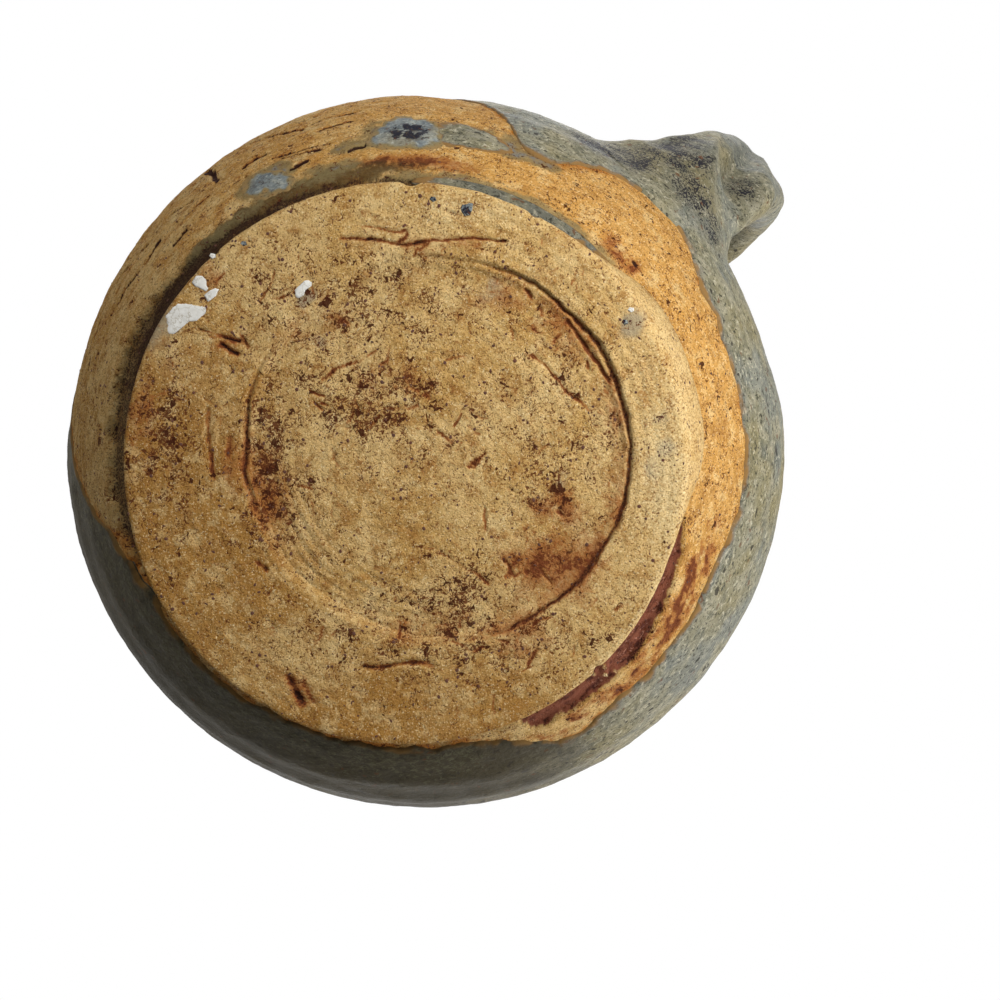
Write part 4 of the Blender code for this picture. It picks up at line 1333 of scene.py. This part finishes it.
# The small splash gets a little painted shade, which its cobalt finish doesn't show.
small = splash(
    "small_glaze_splash", SMALL, 0.22, 2, cobalt, crystal_share=0.45, smoke_and_shade=0.25, fade=0.45
)
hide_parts("glaze_splash_small")
STREAK = [
    (86.5, 19.6), (82, 20.2), (77.6, 19.4), (73.7, 17.4), (70.6, 15.1), (72.7, 14.2), (76, 13.6), (80, 13.4),
    (85.5, 13.2),
]
splash("glaze_streak", STREAK, 0.25, 3, glaze, crystal_share=0.25)
RUN = [
    (88, 7.2), (83, 7.7), (70, 7.8), (57, 7.8), (50, 7.6), (43, 7.3), (45, 6.9), (52, 6.2), (67, 6.0),
    (80, 6.0), (86, 6.1),
]
# The run lies in the groove, so it is darkened a little with painted shade.
splash("glaze_run_in_groove", RUN, 0.45, 4, glaze, crystal_share=0.35, smoke_and_shade=0.25)

# %% [markdown]
# ## Flakes of kiln wash and drops of glaze
# White flakes of the kiln shelf's wash stuck to the foot, with a few drops of glaze. The wash is alumina:
# chalky, dead matt and a little crazed. A picture of cracks could be wrapped on it, but the borders of
# noisy cells give hairlines of the right size without one.


# %% Kiln wash
def kiln_wash():
    """Alumina wash: chalk white and dead matt, with faint grey hairline cracks."""
    made, tree, shader = new_finish("kiln_wash")
    place = add(tree, "ShaderNodeTexCoord").outputs["Object"]
    strayed = add(tree, "ShaderNodeTexNoise", {"Scale": 1 / (0.9 * MM), "Detail": 3.0}, {"Vector": place})
    settings = {"blend_type": "LINEAR_LIGHT", "data_type": "RGBA", MIX_FACTOR: 0.0012}
    strayed = add(tree, "ShaderNodeMix", settings, {MIX_A: place, MIX_B: strayed.outputs["Color"]})
    settings = {"feature": "DISTANCE_TO_EDGE", "Scale": 1 / (2.3 * MM)}
    cracks = add(tree, "ShaderNodeTexVoronoi", settings, {"Vector": strayed.outputs[MIX_OUT]})
    open_crack = add(tree, "ShaderNodeMapRange", {"From Max": 0.035}, {"Value": cracks.outputs["Distance"]})
    chalk = add(tree, "ShaderNodeTexNoise", {"Scale": 1 / (0.7 * MM), "Detail": 5.0}, {"Vector": place})
    settings = {"data_type": "RGBA", MIX_A: colour("#CFCBC0"), MIX_B: colour("#F5F4EF")}
    white = add(tree, "ShaderNodeMix", settings, {MIX_FACTOR: chalk.outputs["Fac"]})
    settings = {"data_type": "RGBA", MIX_A: colour("#BDB5A5")}
    links = {MIX_FACTOR: open_crack.outputs[0], MIX_B: white.outputs[MIX_OUT]}
    tone = add(tree, "ShaderNodeMix", settings, links)
    tree.links.new(tone.outputs[MIX_OUT], shader.inputs["Base Color"])
    shader.inputs["Roughness"].default_value = 0.95
    settings = {"Strength": 0.5, "Distance": 0.12 * MM}
    bump = add(tree, "ShaderNodeBump", settings, {"Height": chalk.outputs["Fac"]})
    tree.links.new(bump.outputs[0], shader.inputs["Normal"])
    return made


wash = kiln_wash()
print(wash.name, len(wash.node_tree.nodes), "nodes")

# %% [markdown]
# A flake or a drop is a thin plate on the foot. A flat disc would float over the hollows. So the foot is
# asked for its height under each point again, and the plate goes a little way into the clay. Corners give
# its outline, and noise breaks its edge.

# %% Crusts on the foot
CRUST_POINTS = 96
CRUST_SUNK = 0.5


def crust(name, right, up, outline, thick, finish, seed, crystal_share=0.0):
    """A thin plate on the foot with a broken outline, given by its corners. All is in mm right and up."""
    corners = np.array(outline, dtype=float)
    steps = np.arange(CRUST_POINTS) * len(corners) / CRUST_POINTS
    corner = steps.astype(int)
    between = (steps - corner)[:, None]
    rim_points = corners[corner] * (1 - between) + corners[(corner + 1) % len(corners)] * between
    crumbled = np.stack([*rim_points.T, np.full(CRUST_POINTS, 5.0 * seed)], -1)
    broken = 1 + 0.10 * lumps(crumbled, 0.7, 25) + 0.06 * lumps(crumbled, 0.25, 26)
    rim_points = rim_points * broken[:, None]
    shares = np.array([0.05, 0.3, 0.55, 0.75, 0.88, 0.95, 1.0])[:, None]
    x, y = flip(right + shares * rim_points[:, 0], up + shares * rim_points[:, 1])
    ground = foot_marks(x, y)[0]
    level = ground.mean() * 0.7 + ground * 0.3
    uneven = 1 + 0.3 * lumps(np.stack([x, y, ground], -1), 1.5, 44)
    top = np.stack([x, y, level - thick * uneven * (1 - shares**10)], -1)
    base = np.stack([x, y, ground + CRUST_SUNK], -1)[::-2]
    rings = np.concatenate([top, base])
    dark = {"crystals_and_shade": np.full(rings.shape[:2], crystal_share)}
    piece = skin(name, rings, finish, rings[0].mean(0), rings[-1].mean(0), marks=dark)
    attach(piece, "root")


WEDGE = [
    (-3.0, 0.3), (-2.1, 1.3), (-1.1, 2.0), (0.2, 2.3), (1.9, 1.9), (3.6, 1.8), (3.3, 0.9), (1.9, -0.3),
    (0.6, -0.5), (-0.5, -1.4), (-1.8, -2.4), (-2.8, -2.1), (-2.6, -1.1),
]
HOOK = [
    (-1.3, 0), (-0.6, 1.0), (0.2, 1.0), (0.9, 0.4), (0.9, -0.4), (1.2, -1.0), (0.7, -1.3), (0, -0.9),
    (-0.8, -0.6),
]
LEAF = [(-1.1, 0), (-0.2, 0.8), (0.6, 1.0), (1.1, 0.9), (0.7, -0.1), (0, -0.6), (-0.5, -0.9), (-0.8, -0.5)]
SHARD = [
    (-1.3, -0.3), (-0.2, 0.8), (0.4, 1.3), (1.3, 0.9), (1.2, 0.3), (0.3, -0.3), (0.1, -1.0), (-0.7, -1.4),
    (-1.2, -1.1),
]
CHIP = [(-0.5, 0), (-0.2, 0.4), (0.4, 0.3), (0.5, -0.2), (0, -0.4)]
DROP = [(-1.0, 0), (-0.7, 0.8), (0.1, 0.9), (0.9, 1.0), (0.8, 0.1), (0.5, -0.8), (-0.4, -0.9)]
FLAKES = [
    (-32.2, 22.0, WEDGE), (-29.8, 27.3, HOOK), (-28.2, 25.4, LEAF), (-28.0, 31.2, CHIP), (-14.5, 26.4, SHARD),
    (33.9, 23.2, CHIP),
]
DROPS = [(9.8, 37.8, DROP), (4.8, 39.4, CHIP), (-23.3, 33.0, CHIP), (33.0, 21.4, CHIP)]
FLAKE_THICK, DROP_THICK, DROP_CRYSTALS = 0.15, 0.12, 0.6
for number, (right, up, outline) in enumerate(FLAKES, 1):
    crust(f"kiln_wash_flake_{number}", right, up, outline, FLAKE_THICK, wash, number)
for number, (right, up, outline) in enumerate(DROPS, 1):
    name = f"glaze_drop_{number}"
    crust(name, right, up, outline, DROP_THICK, cobalt, number + 20, DROP_CRYSTALS)

# %% [markdown]
# ## Iron grains
# Thousands of dark grains of iron and grog show in the bare clay. They are dull and almost black, and some
# are redder. One colour for all would look printed, so a slow noise shifts it from place to place.


# %% Iron grog
def iron_speck():
    """Iron-bearing grog: almost black brown, dull, a little redder here and there."""
    made, tree, shader = new_finish("iron_grog")
    place = add(tree, "ShaderNodeTexCoord").outputs["Object"]
    shade = add(tree, "ShaderNodeTexNoise", {"Scale": 1 / (1.5 * MM), "Detail": 2.0}, {"Vector": place})
    settings = {"data_type": "RGBA", MIX_A: colour("#2E1A12"), MIX_B: colour("#6A3A20")}
    tone = add(tree, "ShaderNodeMix", settings, {MIX_FACTOR: shade.outputs["Fac"]})
    tree.links.new(tone.outputs[MIX_OUT], shader.inputs["Base Color"])
    shader.inputs["Roughness"].default_value = 0.75
    return made


iron = iron_speck()
print(iron.name, len(iron.node_tree.nodes), "nodes")

# %% [markdown]
# Placing the grains by hand is hopeless, and a noise in the clay's colour would leave them flat. So a
# Geometry Nodes tree scatters them: points are dealt out on the clay, thicker where the mesh is marked as
# gritty, and each gets a small crumb of its own size and turn.

# %% Grain tree
grains = bpy.data.node_groups.new("scatter_grains", "GeometryNodeTree")
sockets = {}
for title, kind, way in (
    ("Clay", "NodeSocketGeometry", "INPUT"),
    ("Grains per square metre", "NodeSocketFloat", "INPUT"),
    ("Largest grain", "NodeSocketFloat", "INPUT"),
    ("Seed", "NodeSocketInt", "INPUT"),
    ("Grains", "NodeSocketGeometry", "OUTPUT"),
):
    sockets[title] = grains.interface.new_socket(title, in_out=way, socket_type=kind)
given = add(grains, "NodeGroupInput")
grit_mark = add(grains, "GeometryNodeInputNamedAttribute", {"data_type": "FLOAT", "Name": "grit"})
links = {0: grit_mark.outputs["Attribute"], 1: given.outputs["Grains per square metre"]}
density = add(grains, "ShaderNodeMath", {"operation": "MULTIPLY"}, links)
links = {"Mesh": given.outputs["Clay"], "Density": density.outputs[0], "Seed": given.outputs["Seed"]}
dealt = add(grains, "GeometryNodeDistributePointsOnFaces", {}, links)
RANDOM_FLOAT, RANDOM_SEED = 1, 8
pick = add(grains, "FunctionNodeRandomValue", {"data_type": "FLOAT"}, {RANDOM_SEED: given.outputs["Seed"]})
small_often = add(grains, "ShaderNodeMath", {"operation": "POWER", 1: 2.6}, {0: pick.outputs[RANDOM_FLOAT]})
share = add(grains, "ShaderNodeMapRange", {"To Min": 0.22, "To Max": 1.0}, {"Value": small_often.outputs[0]})
links = {0: share.outputs[0], 1: given.outputs["Largest grain"]}
size = add(grains, "ShaderNodeMath", {"operation": "MULTIPLY"}, links)
stretch = add(grains, "FunctionNodeRandomValue", {"data_type": "FLOAT", 2: 0.40, 3: 0.95, RANDOM_SEED: 5})
links = {0: size.outputs[0], 1: stretch.outputs[RANDOM_FLOAT]}
narrow = add(grains, "ShaderNodeMath", {"operation": "MULTIPLY"}, links)
low = add(grains, "ShaderNodeMath", {"operation": "MULTIPLY", 1: 0.3}, {0: size.outputs[0]})
links = {"X": size.outputs[0], "Y": narrow.outputs[0], "Z": low.outputs[0]}
scale = add(grains, "ShaderNodeCombineXYZ", {}, links)
spin_angle = add(grains, "FunctionNodeRandomValue", {"data_type": "FLOAT", 3: 2 * math.pi, RANDOM_SEED: 9})
links = {"Angle": spin_angle.outputs[RANDOM_FLOAT]}
spin_turn = add(grains, "FunctionNodeAxisAngleToRotation", {"Axis": (0, 0, 1)}, links)
links = {"Rotation": dealt.outputs["Rotation"], "Rotate By": spin_turn.outputs[0]}
laid = add(grains, "FunctionNodeRotateRotation", {"rotation_space": "LOCAL"}, links)
crumb = add(grains, "GeometryNodeMeshIcoSphere", {"Radius": 1.0, "Subdivisions": 1})
links = {
    "Points": dealt.outputs["Points"],
    "Instance": crumb.outputs["Mesh"],
    "Rotation": laid.outputs[0],
    "Scale": scale.outputs[0],
}
placed = add(grains, "GeometryNodeInstanceOnPoints", {}, links)
real = add(grains, "GeometryNodeRealizeInstances", {}, {0: placed.outputs[0]})
dressed = add(grains, "GeometryNodeSetMaterial", {"Material": iron}, {"Geometry": real.outputs[0]})
add(grains, "NodeGroupOutput", {}, {"Grains": dressed.outputs[0]})
print(grains.name, len(grains.nodes), "nodes")


# %% [markdown]
# The foot and the wall get grains of their own from the same tree. It could stay on them as a modifier, but
# then the grains would be worked out again whenever the file opens. So the result is made a plain mesh, one
# for each.

# %% Scatter the grains
CRUMB_FACES = 20


def scatter(name, ground, per_square_metre, largest_mm, seed):
    """Grains on a clay piece, as a plain mesh of their own."""
    carrier = bpy.data.objects.new(name + "_carrier", ground.data)
    bpy.context.scene.collection.objects.link(carrier)
    modifier = carrier.modifiers.new("grains", "NODES")
    modifier.node_group = grains
    modifier[sockets["Grains per square metre"].identifier] = float(per_square_metre)
    modifier[sockets["Largest grain"].identifier] = largest_mm * MM
    modifier[sockets["Seed"].identifier] = seed
    depsgraph = bpy.context.evaluated_depsgraph_get()
    mesh = bpy.data.meshes.new_from_object(carrier.evaluated_get(depsgraph), depsgraph=depsgraph)
    bpy.data.objects.remove(carrier)
    mesh.name = name
    piece = bpy.data.objects.new(name, mesh)
    bpy.context.scene.collection.objects.link(piece)
    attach(piece, "root")
    print(name, len(mesh.polygons) // CRUMB_FACES, "grains")


scatter("iron_grains_in_foot", turned_foot, 1100000, 0.36, 3)
scatter("iron_grains_in_wall", clay_wall, 600000, 0.32, 4)

# %% [markdown]
# Last, the dressed part is measured against the solids that it stands for. The finish adds no size of its
# own, so the two boxes should agree to about a millimetre.

# %% Boxes of the solids and of the dressed part
new_low, new_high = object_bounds()
cad_size, new_size = cad_high - cad_low, new_high - new_low
print("solids", [round(v / MM, 1) for v in cad_size], "dressed", [round(v / MM, 1) for v in new_size])
